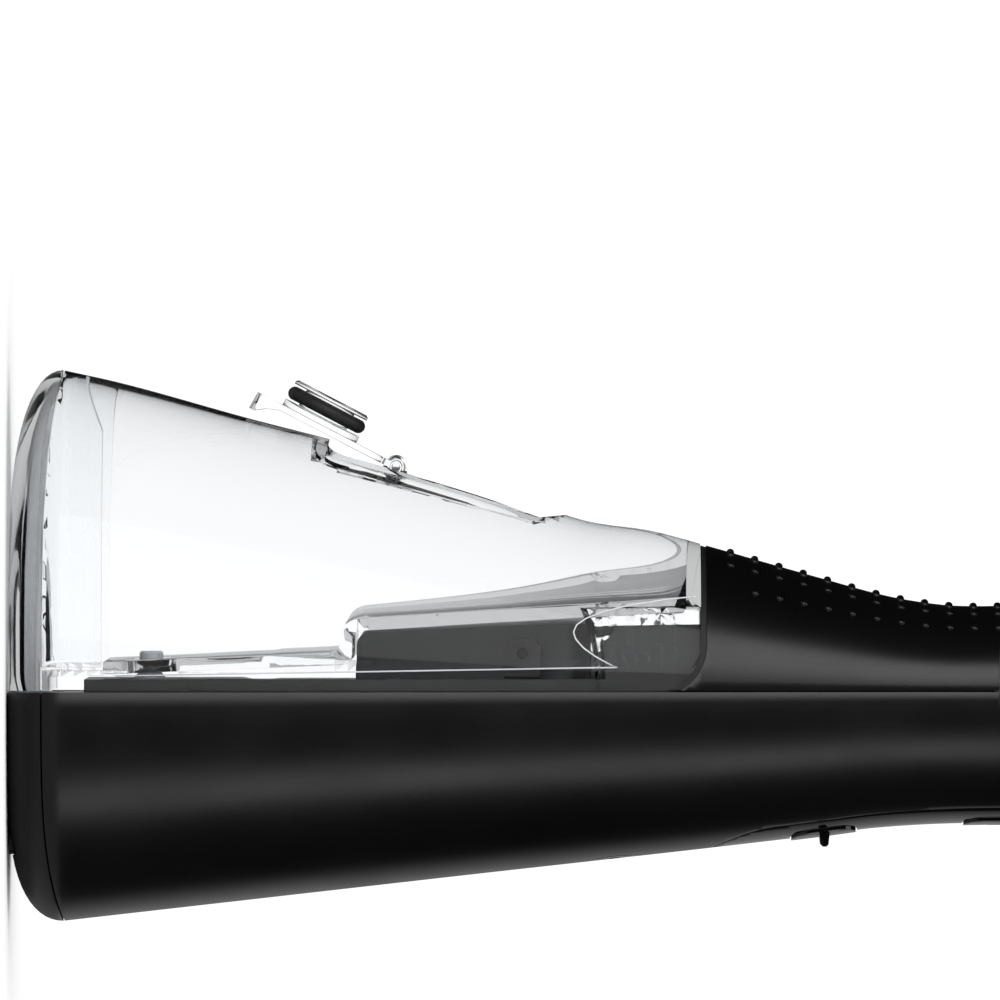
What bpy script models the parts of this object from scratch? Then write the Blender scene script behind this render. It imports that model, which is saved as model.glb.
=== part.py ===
"""A cordless water flosser: a black battery handle with a clear tank on its back.

It stands on its base, tip up (+Z), with the buttons at the front (-Y) and the tank at the rear (+Y).
Sizes are millimetres. Y is measured from the parting plane of the housing, and the whole assembly
hangs from one empty that puts the middle of its outline over the world's origin.
"""

import math

import bmesh
import bpy
from mathutils import Matrix, Vector

MM = 0.001

# ---- Fits and walls -----------------------------------------------------------------------------
GAP = 0.3
WALL = 2.2
TANK_WALL = 1.9
SKIN = WALL + GAP

# ---- Body outline -------------------------------------------------------------------------------
BASE_RIM = 10.0
TANK_END = 129.1
GRIP_Z = 176.0
HANDLE_TOP = 213.0
SHOULDER = 9.0
LENGTH = 297.0
BASE_WIDTH = 69.8
GRIP_WIDTH = 44.8
FRONT_DEPTH = 42.7
REAR_DEPTH = 59.4
GRIP_FRONT = 24.6
GRIP_REAR = 15.7
SECTION_POWER = 2.2
ROUNDNESS = 2.2
FLAT_WIDTH = 0.5
FLAT_FRONT = 0.54
FLAT_REAR = 0.45
SHOULDER_FLAT = 0.74
HALF_SEGMENTS = 16
HALF_SEGMENTS_HIDDEN = 10
LEVEL_SPACING = 13.0
LEVEL_SPACING_HIDDEN = 20.0
DOME_STEPS = (0.0, 0.03, 0.13, 0.34, 0.64)
PARTING_Y = (FRONT_DEPTH - REAR_DEPTH) / 2

# ---- Seam of the base cap and the tank's end cap ------------------------------------------------
SEAM_SIDE = 6.2
SEAM_FRONT = 10.0
LIP_Z = 17.4
LIP_WALL = 1.4
FOOT_HALF = 12.0
FOOT_Y = (-30.2, -25.8)
FOOT_BED = 1.6

# ---- Tank ---------------------------------------------------------------------------------------
END_WALL = 2.8
TANK_CORNER = 8.5
RIM_FLANGE = 2.6
RIM_RISE = 1.9
RIM_EXTRA = 1.2
FLOOR_THICK = 2.2
FLOOR_START = 15.9
FLOOR_STEP = 60.4
FLOOR_STEP_END = 65.4
FLOOR_LOW = (5.3, 7.1)
FLOOR_HIGH = (13.4, 16.8)
GASKET = 0.8

# ---- Filling door -------------------------------------------------------------------------------
DOOR_AXIS_Z = 71.6
DOOR_AXIS_Y = 41.4
DOOR_TILT = math.radians(15.5)
DOOR_OPEN = math.radians(168.0)
DOOR_LENGTH = 29.0
DOOR_HALF = 10.4
DOOR_PLATE = 1.2
DOOR_LIP = 2.2
POCKET_HALF = 11.6
POCKET_BACK = 13.2
POCKET_FLOOR = 2.1
POCKET_RAMP = (27.5, 35.0)
POCKET_WALL = 2.0
PLUG_REACH = 16.3
PLUG_RADIUS = 7.7
PLUG_NECK = 1.3
PLUG_DISC = 0.9
DOOR_RING_WIRE = 1.3
DOOR_RING_RADIUS = 7.9
FILL_HOLE = 8.3
KNUCKLE = 1.7
KNUCKLE_HALF = 6.4
EAR_THICK = 2.2
PIN_RADIUS = 0.8

# ---- Deck and drive -----------------------------------------------------------------------------
DECK_START = 14.2
DECK_TOP = 2.2
DECK_UNDER = -1.8
DECK_END = 133.0
BULGE_HALF = 17.5
BULGE_WALL = 1.8
BULGE_CLEAR = 0.6
FLARE_START = 103.0
FLARE_END = 114.0
MOTOR_Z = 76.0
MOTOR_RADIUS = 12.0
MOTOR_FRONT = -28.5
MOTOR_REAR = -4.9
MOUNT = (-4.4, -2.4)
GEAR_MODULE = 0.88
GEAR_TEETH = 28
PINION_TEETH = 10
GEAR_THICK = 3.6
GEAR_FACE = -1.2
PRESSURE_ANGLE = math.radians(20.0)
BACKLASH = 0.25
CRANK_OFFSET = 1.5
CRANK_PIN = 1.2
AXLE_RADIUS = 1.5
ROD_RING = 1.7
ROD_THICK = 3.0
CYLINDER_START = 110.0
CYLINDER_LENGTH = 18.0
BORE = 3.3
CYLINDER_WALL = 1.5
PISTON_LENGTH = 9.5
HEAD_LENGTH = 8.6
CELL_RADIUS = 7.1
CELL_LENGTH = 50.0
CELL_Z = 11.0
CELL_Y = -14.5
INLET_Z = 26.0

# ---- Panel and buttons --------------------------------------------------------------------------
PANEL_START = 130.3
PANEL_HALF = 11.4
PANEL_TOP = HANDLE_TOP - 9.0
PANEL_THICK = 0.8
PANEL_BED = 1.1
BUTTON_PROUD = 0.4
BUTTON_TRAVEL = 0.6
PRESSURE_Z = (144.9, 156.8)
PRESSURE_HALF = 8.0
POWER_Z = (176.8, 191.0)
POWER_HALF = 7.0
RIB_Z = 151.0
RIB_HALF = 6.2
RIB_HEIGHT = 1.8
BUTTON_BACK = -19.0
BOARD = (-15.9, -14.7)
LENS_Z = 166.5
PORT_Z = 112.0
PORT_RADIUS = 6.0

# ---- Head ---------------------------------------------------------------------------------------
HEAD_Y = -3.8
SOCKET_RADIUS = 5.5
TIP_BORE = 3.4
TIP_RADIUS = 3.0
KNOB_RADIUS = 16.6
KNOB_HEIGHT = 14.6
SPIGOT_RADIUS = 9.0
BEND_RADIUS = 9.0
BEND = math.radians(75.0)
JET_LENGTH = 4.0
JET_RADIUS = 1.2
EJECT_Z = (183.4, 199.4)
EJECT_Y = (-3.9, 9.2)
EJECT_TRAVEL = 1.5


# ---- Shape helpers ------------------------------------------------------------------------------
def clear_scene():
    for obj in list(bpy.data.objects):
        bpy.data.objects.remove(obj)
    for name in ("water_flosser", "cutters"):
        bpy.context.scene.collection.children.link(bpy.data.collections.new(name))


def as_cutter(name, mesh):
    """Every shape starts as a hidden helper; part() turns the finished ones into pieces."""
    obj = bpy.data.objects.new(name, mesh)
    obj.hide_render = True
    obj.display_type = "WIRE"
    bpy.data.collections["cutters"].objects.link(obj)
    return obj


def from_bmesh(name, bm):
    """Makes an object of a mesh built in millimetres."""
    bmesh.ops.recalc_face_normals(bm, faces=bm.faces)
    bmesh.ops.scale(bm, vec=(MM, MM, MM), verts=bm.verts)
    mesh = bpy.data.meshes.new(name)
    bm.to_mesh(mesh)
    bm.free()
    return as_cutter(name, mesh)


def box(name, low, high):
    bm = bmesh.new()
    size = [b - a for a, b in zip(low, high)]
    middle = [(a + b) / 2 for a, b in zip(low, high)]
    bmesh.ops.create_cube(bm, size=1, matrix=Matrix.Translation(middle) @ Matrix.Diagonal((*size, 1)))
    return from_bmesh(name, bm)


def rod(name, start, end, radius, end_radius=None, segments=24):
    """A round bar or cone between two points."""
    start = Vector(start)
    along = Vector(end) - start
    turn = along.to_track_quat("Z", "Y").to_matrix().to_4x4()
    matrix = Matrix.Translation(start + along / 2) @ turn
    bm = bmesh.new()
    bmesh.ops.create_cone(
        bm,
        cap_ends=True,
        segments=segments,
        radius1=radius,
        radius2=radius if end_radius is None else end_radius,
        depth=along.length,
        matrix=matrix,
    )
    return from_bmesh(name, bm)


def turned(name, profile, place, axis=(0, 0, 1), steps=32, closed=False):
    """Turns (radius, height) points, top to bottom on the outside, about an axis through place."""
    mesh = bpy.data.meshes.new(name)
    last = len(profile) - 1
    edges = [(i, i + 1) for i in range(last)] + ([(last, 0)] if closed else [])
    mesh.from_pydata([(r * MM, 0, z * MM) for r, z in profile], edges, [])
    obj = as_cutter(name, mesh)
    screw = obj.modifiers.new("turn", "SCREW")
    screw.steps = steps
    screw.render_steps = steps
    screw.use_merge_vertices = True
    screw.merge_threshold = 0.00001
    obj.matrix_world = Matrix.Translation(Vector(place) * MM) @ (
        Vector(axis).to_track_quat("Z", "Y").to_matrix().to_4x4()
    )
    return obj


def ring(name, place, major, wire, axis=(0, 0, 1), steps=16, sides=6):
    """An O-ring: a circle of wire turned about its axis."""
    angles = [-2 * math.pi * i / sides for i in range(sides)]
    profile = [(major + wire * math.cos(a), wire * math.sin(a)) for a in angles]
    return turned(name, profile, place, axis, steps, closed=True)


def evaluated_mesh(obj):
    graph = bpy.context.evaluated_depsgraph_get()
    mesh = bpy.data.meshes.new_from_object(obj.evaluated_get(graph))
    bm = bmesh.new()
    bm.from_mesh(mesh)
    bmesh.ops.remove_doubles(bm, verts=bm.verts, dist=0.000001)
    bmesh.ops.recalc_face_normals(bm, faces=bm.faces)
    bm.to_mesh(mesh)
    bm.free()
    return mesh


PLANES = {
    "X": Matrix(((0, 0, 1, 0), (1, 0, 0, 0), (0, 1, 0, 0), (0, 0, 0, 1))),
    "Y": Matrix(((1, 0, 0, 0), (0, 0, -1, 0), (0, 1, 0, 0), (0, 0, 0, 1))),
    "Z": Matrix.Identity(4),
}


def curve_object(name, points, radii=None):
    curve = bpy.data.curves.new(name, "CURVE")
    spline = curve.splines.new("POLY")
    spline.points.add(len(points) - 1)
    for i, (knot, point) in enumerate(zip(spline.points, points)):
        knot.co = (*(value * MM for value in point), 1)
        knot.radius = radii[i] if radii else 1
    obj = bpy.data.objects.new(name, curve)
    bpy.data.collections["cutters"].objects.link(obj)
    return obj


def made_mesh(obj, matrix=Matrix.Identity(4)):
    """Swaps a curve for its mesh, with its caps welded."""
    mesh = evaluated_mesh(obj)
    mesh.transform(matrix)
    name = obj.name
    curve = obj.data
    bpy.data.objects.remove(obj)
    bpy.data.curves.remove(curve)
    mesh.name = name
    return as_cutter(name, mesh)


def prism(name, outline, across, low, high):
    """A flat outline made solid across X (outline in Y, Z), Y (outline in X, Z) or Z (in X, Y)."""
    obj = curve_object(name, [(a, b, 0) for a, b in outline])
    obj.data.dimensions = "2D"
    obj.data.fill_mode = "BOTH"
    obj.data.extrude = (high - low) * MM / 2
    obj.data.splines[0].use_cyclic_u = True
    middle = (high + low) * MM / 2 * (-1 if across == "Y" else 1)
    return made_mesh(obj, PLANES[across] @ Matrix.Translation((0, 0, middle)))


def tube(name, points, radius, radii=None, sides=2):
    obj = curve_object(name, points, radii)
    obj.data.dimensions = "3D"
    obj.data.bevel_depth = radius * MM
    obj.data.bevel_resolution = sides
    obj.data.use_fill_caps = True
    return made_mesh(obj)


def boolean(target, other, operation, solver="EXACT"):
    modifier = target.modifiers.new(other.name, "BOOLEAN")
    modifier.operation = operation
    modifier.solver = solver
    modifier.object = other
    return target


def cut(target, *others, solver="EXACT"):
    for other in others:
        boolean(target, other, "DIFFERENCE", solver)
    return target


def join(target, *others):
    for other in others:
        boolean(target, other, "UNION")
    return target


def keep(target, *others):
    for other in others:
        boolean(target, other, "INTERSECT")
    return target


def material(name, colour, roughness, metallic=0.0, clear=False):
    made = bpy.data.materials.get(name)
    if made:
        return made
    made = bpy.data.materials.new(name)
    made.use_nodes = True
    shader = made.node_tree.nodes["Principled BSDF"]
    shader.inputs["Base Color"].default_value = (*colour, 1)
    shader.inputs["Roughness"].default_value = roughness
    shader.inputs["Metallic"].default_value = metallic
    shader.inputs["Transmission Weight"].default_value = 1.0 if clear else 0.0
    return made


FINISHES = {
    "black_satin": ((0.012, 0.012, 0.013), 0.4),
    "black_gloss": ((0.006, 0.006, 0.007), 0.12),
    "clear": ((0.95, 0.96, 0.97), 0.03, 0.0, True),
    "rubber": ((0.02, 0.02, 0.02), 0.75),
    "grey": ((0.45, 0.46, 0.48), 0.35),
    "white": ((0.85, 0.85, 0.83), 0.4),
    "steel": ((0.6, 0.6, 0.62), 0.28, 1.0),
    "brass": ((0.72, 0.55, 0.25), 0.3, 1.0),
    "cell_wrap": ((0.04, 0.18, 0.35), 0.4),
    "board": ((0.02, 0.16, 0.07), 0.5),
    "blue": ((0.05, 0.25, 0.75), 0.35),
    "lamp": ((0.2, 0.7, 0.9), 0.3),
}


def part(obj, name, finish, pivot=None):
    """Turns a helper into a piece, with its origin on its joint's axis where it has one."""
    obj.name = name
    obj.hide_render = False
    obj.display_type = "TEXTURED"
    bpy.data.collections["cutters"].objects.unlink(obj)
    bpy.data.collections["water_flosser"].objects.link(obj)
    obj.data.materials.append(material(finish, *FINISHES[finish]))
    for face in obj.data.polygons:
        face.use_smooth = True
    if pivot:
        place = Vector(pivot) * MM
        obj.data.transform(Matrix.Translation(-(obj.matrix_world.inverted() @ place)))
        obj.matrix_world = obj.matrix_world @ Matrix.Translation(obj.matrix_world.inverted() @ place)
    return obj


# ---- Outlines -----------------------------------------------------------------------------------
def smooth(stations):
    """A smooth curve through (place, value) stations, straight beyond its ends."""
    chords = [(b[1] - a[1]) / (b[0] - a[0]) for a, b in zip(stations, stations[1:])]
    slopes = [chords[0]] + [(a + b) / 2 for a, b in zip(chords, chords[1:])] + [chords[-1]]

    def value(place):
        last = len(stations) - 2
        i = max(0, min(last, sum(place > s[0] for s in stations[1:-1])))
        (start, low), (end, high) = stations[i], stations[i + 1]
        span = end - start
        share = max(0.0, min(1.0, (place - start) / span))
        beyond = (place - start) / span - share
        blend = share * share * (3 - 2 * share)
        bow = share * (1 - share) * span
        bowed = bow * (slopes[i] * (1 - share) - slopes[i + 1] * share)
        end_slope = slopes[i + 1] if beyond > 0 else slopes[i]
        return low + (high - low) * blend + bowed + beyond * span * end_slope

    return value


def mix(low, high, share):
    return low + (high - low) * share


HALF_WIDTH = smooth(
    (
        (BASE_RIM, BASE_WIDTH / 2),
        (60.0, mix(GRIP_WIDTH, BASE_WIDTH, 0.77) / 2),
        (100.0, mix(GRIP_WIDTH, BASE_WIDTH, 0.49) / 2),
        (TANK_END, mix(GRIP_WIDTH, BASE_WIDTH, 0.25) / 2),
        (GRIP_Z, GRIP_WIDTH / 2),
        (HANDLE_TOP, GRIP_WIDTH / 2),
    )
)
FRONT = smooth(
    (
        (BASE_RIM, FRONT_DEPTH),
        (80.0, mix(FRONT_DEPTH, GRIP_FRONT + 2.2, 0.5)),
        (150.0, GRIP_FRONT + 2.2),
        (160.0, GRIP_FRONT + 0.9),
        (GRIP_Z, GRIP_FRONT),
        (HANDLE_TOP, GRIP_FRONT + 0.4),
    )
)
REAR = smooth(
    (
        (BASE_RIM, REAR_DEPTH),
        (20.5, mix(DOOR_AXIS_Y, REAR_DEPTH, 0.87)),
        (45.0, DOOR_AXIS_Y + 8.9),
        (62.0, DOOR_AXIS_Y + 4.5),
        (78.0, DOOR_AXIS_Y - 0.2),
        (90.0, DOOR_AXIS_Y - 4.0),
        (98.0, DOOR_AXIS_Y - 7.0),
        (107.0, 31.4),
        (119.0, 29.6),
        (TANK_END, 26.9),
        (141.0, 23.5),
        (152.0, 20.4),
        (162.0, 17.7),
        (169.0, 16.4),
        (GRIP_Z, GRIP_REAR),
        (HANDLE_TOP, GRIP_REAR + 1.8),
    )
)


def rounded_share(share, flat):
    """How wide a section is at this share of its rounded end's height, starting from the flat."""
    return flat + (1 - flat) * (1 - (1 - share) ** ROUNDNESS) ** (1 / ROUNDNESS)


def signed_power(value, power):
    return math.copysign(abs(value) ** power, value)


def levels(inset, low, high, spacing):
    """Heights of the sections, with the shares of the base's and the shoulder's rounding."""
    found = []
    if low is None:
        found += [(mix(inset, BASE_RIM, s), s, 1.0) for s in DOME_STEPS]
        low = BASE_RIM
    top = HANDLE_TOP - SHOULDER if high is None else high
    count = max(1, round((top - low) / spacing))
    found += [(mix(low, top, i / count), 1.0, 1.0) for i in range(count + 1)]
    if high is None:
        steps = reversed(DOME_STEPS)
        found += [(mix(HANDLE_TOP - inset, top, s), 1.0, s) for s in steps]
    return found


def form(name, side, inset=0.0, low=None, high=None, past=0.0, hidden=False):
    """The body as a solid, its skin moved in by inset: side -1 is the front half, 1 the rear, 0 both.

    It runs from low to high, or over the rounded base or shoulder where one is None. A half reaches
    past the parting plane by past, or stops short of it where past is negative. Hidden faces are
    made with fewer sections.
    """
    bm = bmesh.new()
    rings = []
    sides = HALF_SEGMENTS_HIDDEN if hidden else HALF_SEGMENTS
    turns = sides if side else 2 * sides
    spacing = LEVEL_SPACING_HIDDEN if hidden else LEVEL_SPACING
    for height, base, shoulder in levels(inset, low, high, spacing):
        top = rounded_share(shoulder, SHOULDER_FLAT)
        half = (HALF_WIDTH(height) * rounded_share(base, FLAT_WIDTH) - inset) * top
        front = (FRONT(height) * rounded_share(base, FLAT_FRONT) - inset) * top
        rear = (REAR(height) * rounded_share(base, FLAT_REAR) - inset) * top
        points = []
        for i in range(turns + (1 if side else 0)):
            angle = math.pi * i / sides
            x = half * signed_power(math.cos(angle), 2 / SECTION_POWER)
            across = signed_power(math.sin(angle), 2 / SECTION_POWER)
            depth = rear if (side or across) > 0 else front
            y = depth * abs(across) * (side or math.copysign(1, across))
            if side and abs(y) < -past:
                y = -side * past
            points.append((x, y, height))
        if side and past > 0:
            points.append((points[-1][0], -side * past, height))
            points.append((points[0][0], -side * past, height))
        rings.append([bm.verts.new(point) for point in points])
    for lower, upper in zip(rings, rings[1:]):
        for i in range(len(lower)):
            j = (i + 1) % len(lower)
            bm.faces.new((lower[i], lower[j], upper[j], upper[i]))
    bm.faces.new(rings[0])
    bm.faces.new(rings[-1])
    return from_bmesh(name, bm)


def arc(middle, radius, start, end, steps=8):
    """Points on an arc; the angles are in degrees."""
    angles = [math.radians(mix(start, end, i / steps)) for i in range(steps + 1)]
    return [(middle[0] + radius * math.cos(a), middle[1] + radius * math.sin(a)) for a in angles]


def rounded_box(low, high, radius, steps=4):
    """A rectangle with round corners."""
    (left, bottom), (right, top) = low, high
    corners = ((right, top, -1, -1), (left, top, 1, -1), (left, bottom, 1, 1), (right, bottom, -1, 1))
    points = []
    for i, (x, y, inward_x, inward_y) in enumerate(corners):
        middle = (x + inward_x * radius, y + inward_y * radius)
        points += arc(middle, radius, 90 * i, 90 * i + 90, steps)
    return points


def seam_curve(offset, reach=FRONT_DEPTH):
    """The seam's height across the depth: low at the sides, higher at the front and the rear."""
    points = []
    for i in range(15):
        y = reach * (i / 14)
        points.append((y, SEAM_SIDE + (SEAM_FRONT - SEAM_SIDE) * min(1.0, (y / reach)) ** 4 + offset))
    return points


def below_seam(name, side, offset):
    """What lies under the base seam on one side of the parting plane."""
    reach = FRONT_DEPTH if side < 0 else REAR_DEPTH
    curve = [(side * y, z) for y, z in seam_curve(offset, reach)]
    outline = [(-side * 2.0, -1.0), (-side * 2.0, curve[0][1]), *curve]
    outline += [(side * (reach + 9), curve[-1][1]), (side * (reach + 9), -1.0)]
    return prism(name, outline, "X", -BASE_WIDTH, BASE_WIDTH)


# ---- Handle shells ------------------------------------------------------------------------------
def panel_outline(grow=0.0):
    half = PANEL_HALF + grow
    low = arc((0, PANEL_START + PANEL_HALF), half, 180, 360, 12)
    return low + arc((0, PANEL_TOP - PANEL_HALF), half, 0, 180, 12)


def button_outline(half, span, grow=0.0):
    return rounded_box((-half - grow, span[0] - grow), (half + grow, span[1] + grow), 4.0 + grow)


def eject_outline(grow=0.0):
    low = (EJECT_Y[0] - grow, EJECT_Z[0] - grow)
    return rounded_box(low, (EJECT_Y[1] + grow, EJECT_Z[1] + grow), 2.5 + grow)


def knob_opening(name):
    low = (0, HEAD_Y, HANDLE_TOP - 6)
    return rod(name, low, (0, HEAD_Y, HANDLE_TOP + 2), SPIGOT_RADIUS + GAP, segments=40)


def front_shell(name):
    """The whole front half, base included, as one wall."""
    shell = form(name, -1, past=-GAP / 2)
    return cut(shell, form(name + "_inside", -1, WALL, past=5, hidden=True))


SCREW_PLACES = ((-20.5, 22.0), (20.5, 22.0), (-20.0, 110.0), (20.0, 110.0))


def make_front_housing():
    shell = front_shell("front_housing")
    cut(shell, below_seam("front_seam", -1, GAP))
    bed = prism("panel_bed", panel_outline(GAP), "Y", -FRONT_DEPTH - 5, -5)
    cut(bed, form("panel_bed_floor", -1, PANEL_BED, PANEL_START - 20, HANDLE_TOP - 2, past=5, hidden=True))
    cut(shell, bed)
    for name, half, span in (("pressure", PRESSURE_HALF, PRESSURE_Z), ("power", POWER_HALF, POWER_Z)):
        cut(shell, prism(name + "_opening", button_outline(half, span, GAP), "Y", -60, -5))
    cut(shell, rod("lens_opening", (0, -60, LENS_Z), (0, -5, LENS_Z), 1.0 + GAP, segments=16))
    cut(shell, rod("port_opening", (0, -60, PORT_Z), (0, -20, PORT_Z), PORT_RADIUS + GAP))
    cut(shell, prism("eject_opening_front", eject_outline(GAP), "X", -40, -10))
    cut(shell, knob_opening("knob_opening_front"))
    for i, (x, z) in enumerate(SCREW_PLACES):
        post = rod(f"screw_post_{i + 1}", (x, DECK_UNDER - GAP, z), (x, -60, z), 3.0, segments=16)
        keep(post, form(f"screw_post_reach_{i + 1}", -1, WALL / 2, past=5, hidden=True))
        join(shell, post)
        cut(shell, rod(f"screw_hole_{i + 1}", (x, 0, z), (x, DECK_UNDER - 9, z), 1.3, segments=12))
    part(shell, "front_housing", "black_satin")


def make_base_cap():
    cap = keep(front_shell("base_cap"), below_seam("base_seam", -1, 0))
    low, high = (-FOOT_HALF, FOOT_Y[0]), (FOOT_HALF, FOOT_Y[1])
    bed_low = (low[0] - GAP, low[1] - GAP)
    bed = rounded_box(bed_low, (high[0] + GAP, high[1] + GAP), 2.2)
    cut(cap, prism("foot_bed", bed, "Z", -2, FOOT_BED))
    part(cap, "base_cap", "black_satin")
    foot = prism("front_foot", rounded_box(low, high, 2.1), "Z", 0, FOOT_BED - GAP)
    part(foot, "front_foot", "rubber")


def tank_side_outline(grow):
    """The tank's side view near its upper end, whose corner at the parting plane is round."""
    end = TANK_END - GAP - GASKET + grow
    radius = TANK_CORNER + grow
    corner = arc((TANK_CORNER, TANK_END - GAP - GASKET - TANK_CORNER), radius, 90, 180, 10)
    low = (corner[-1][0], -20)
    return [(90, -20), (90, end), *corner, low]


def make_rear_housing():
    start = TANK_END - TANK_CORNER - 2
    shell = form("rear_housing", 1, low=start, past=-GAP / 2)
    inside = form("rear_inside", 1, WALL, TANK_END + WALL, past=5, hidden=True)
    cut(shell, inside)
    cut(shell, prism("tank_seat", tank_side_outline(GASKET + GAP), "X", -50, 50))
    cut(shell, bulge_space("bulge_opening", GAP, WALL))
    cut(shell, prism("eject_opening_rear", eject_outline(GAP), "X", -40, -10))
    cut(shell, knob_opening("knob_opening_rear"))
    part(shell, "rear_housing", "black_satin")


def make_panel():
    panel = prism("control_panel", panel_outline(), "Y", -FRONT_DEPTH - 5, -5)
    keep(panel, form("panel_face", -1, 0, PANEL_START - 5, HANDLE_TOP - 5, past=5))
    low, high = PANEL_START - 10, HANDLE_TOP - 2
    back = form("panel_back", -1, PANEL_THICK, low, high, past=6, hidden=True)
    cut(panel, back, solver="MANIFOLD")
    for name, half, span in (("pressure", PRESSURE_HALF, PRESSURE_Z), ("power", POWER_HALF, POWER_Z)):
        cut(panel, prism(name + "_window", button_outline(half, span, GAP), "Y", -60, -5))
    cut(panel, rod("lens_window", (0, -60, LENS_Z), (0, -5, LENS_Z), 1.0 + GAP, segments=16))
    part(panel, "control_panel", "black_gloss")
    lens = rod("indicator_lens", (0, -60, LENS_Z), (0, 1 - GRIP_FRONT, LENS_Z), 1.0, segments=16)
    keep(lens, form("lens_face", -1, 0, LENS_Z - 20, LENS_Z + 20, past=5))
    lens_back = (0, BOARD[0] - 1.6, LENS_Z)
    part(lens, "indicator_lens", "clear")
    lamp = rod("indicator_lamp", lens_back, (0, BOARD[0] - GAP, LENS_Z), 1.2, segments=12)
    part(lamp, "indicator_lamp", "lamp")


def front_button(name, half, span):
    """A key that follows the panel's face, standing a little proud, with a flange behind the wall."""
    key = prism(name, button_outline(half, span), "Y", -60, BUTTON_BACK)
    keep(key, form(name + "_face", -1, -BUTTON_PROUD, span[0] - 20, span[1] + 20, past=5))
    flange = button_outline(half, span, 1.4)
    return join(key, prism(name + "_flange", flange, "Y", BUTTON_BACK - 1.2, BUTTON_BACK))


def make_buttons():
    middle = (0, BUTTON_BACK, sum(POWER_Z) / 2)
    part(front_button("power_button", POWER_HALF, POWER_Z), "power_button", "black_gloss", middle)
    key = front_button("pressure_button", PRESSURE_HALF, PRESSURE_Z)
    face = FRONT(RIB_Z) + BUTTON_PROUD
    outline = [(-face + 2, RIB_Z - 1.1), (-face + 2, RIB_Z + 1.1), (-face - RIB_HEIGHT + 0.4, RIB_Z + 0.7)]
    outline += [(-face - RIB_HEIGHT, RIB_Z + 0.3), (-face - RIB_HEIGHT, RIB_Z - 0.3)]
    outline += [(-face - RIB_HEIGHT + 0.4, RIB_Z - 0.7)]
    join(key, prism("pressure_rib", outline, "X", -RIB_HALF, RIB_HALF))
    part(key, "pressure_button", "black_gloss", (0, BUTTON_BACK, sum(PRESSURE_Z) / 2))


def make_charge_port():
    face = FRONT(PORT_Z)
    disc = rod("charge_port", (0, -60, PORT_Z), (0, 2.4 - face, PORT_Z), PORT_RADIUS)
    keep(disc, form("port_face", -1, 0, PORT_Z - 20, PORT_Z + 20, past=5))
    for x in (-3.0, 3.0):
        cut(disc, rod("contact_hole", (x, -60, PORT_Z), (x, 0, PORT_Z), 1.0 + GAP, segments=14))
    part(disc, "charge_port", "black_gloss")
    for side, x in (("left", -3.0), ("right", 3.0)):
        name = "charge_contact_" + side
        pin = rod(name, (x, 0.9 - face, PORT_Z), (x, 4.4 - face, PORT_Z), 1.0, segments=14)
        part(pin, name, "brass")
    low = (-4.5, 5.0 - face, PORT_Z - 4.5)
    part(box("charge_magnet", low, (4.5, 8.0 - face, PORT_Z + 4.5)), "charge_magnet", "steel")


# ---- Tank ---------------------------------------------------------------------------------------
def floor_top(z):
    """Height of the tank floor's upper face over the parting plane."""
    if z <= FLOOR_STEP:
        return mix(*FLOOR_LOW, (z - FLOOR_START) / (FLOOR_STEP - FLOOR_START))
    share = (z - FLOOR_STEP_END) / (TANK_END - END_WALL - FLOOR_STEP_END)
    return mix(*FLOOR_HIGH, share)


def door_point(along, out):
    """(Y, Z) of a point given along the closed door from its hinge, and out from its face."""
    y = DOOR_AXIS_Y - along * math.sin(DOOR_TILT) + out * math.cos(DOOR_TILT)
    z = DOOR_AXIS_Z + along * math.cos(DOOR_TILT) + out * math.sin(DOOR_TILT)
    return (y, z)


def door_prism(name, outline, half):
    return prism(name, [door_point(*point) for point in outline], "X", -half, half)


def pocket(name, grow):
    """The seat of the filling door: a tilted well whose far end runs out in a ramp."""
    floor = -POCKET_FLOOR - grow
    back = -POCKET_BACK - grow
    near, far = POCKET_RAMP
    outline = [(back, 9), (back, floor + 1), (back + 0.3, floor + 0.3), (back + 1, floor)]
    outline += [(near, floor), (far + grow, 0.8), (far + grow, 9)]
    well = door_prism(name, outline, POCKET_HALF + grow)
    plan = rounded_box((-POCKET_HALF - grow, back), (POCKET_HALF + grow, far + grow), 3.4 + grow)
    solid = prism(name + "_plan", plan, "Z", -9, 15)
    turn = Matrix.Rotation(math.pi / 2, 4, "X") @ Matrix.Scale(-1, 4, (0, 0, 1))
    solid.data.transform(turn)
    solid.data.flip_normals()
    place = Matrix.Translation(Vector((0, DOOR_AXIS_Y, DOOR_AXIS_Z)) * MM)
    solid.data.transform(place @ Matrix.Rotation(DOOR_TILT, 4, "X"))
    return keep(well, solid)


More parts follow.
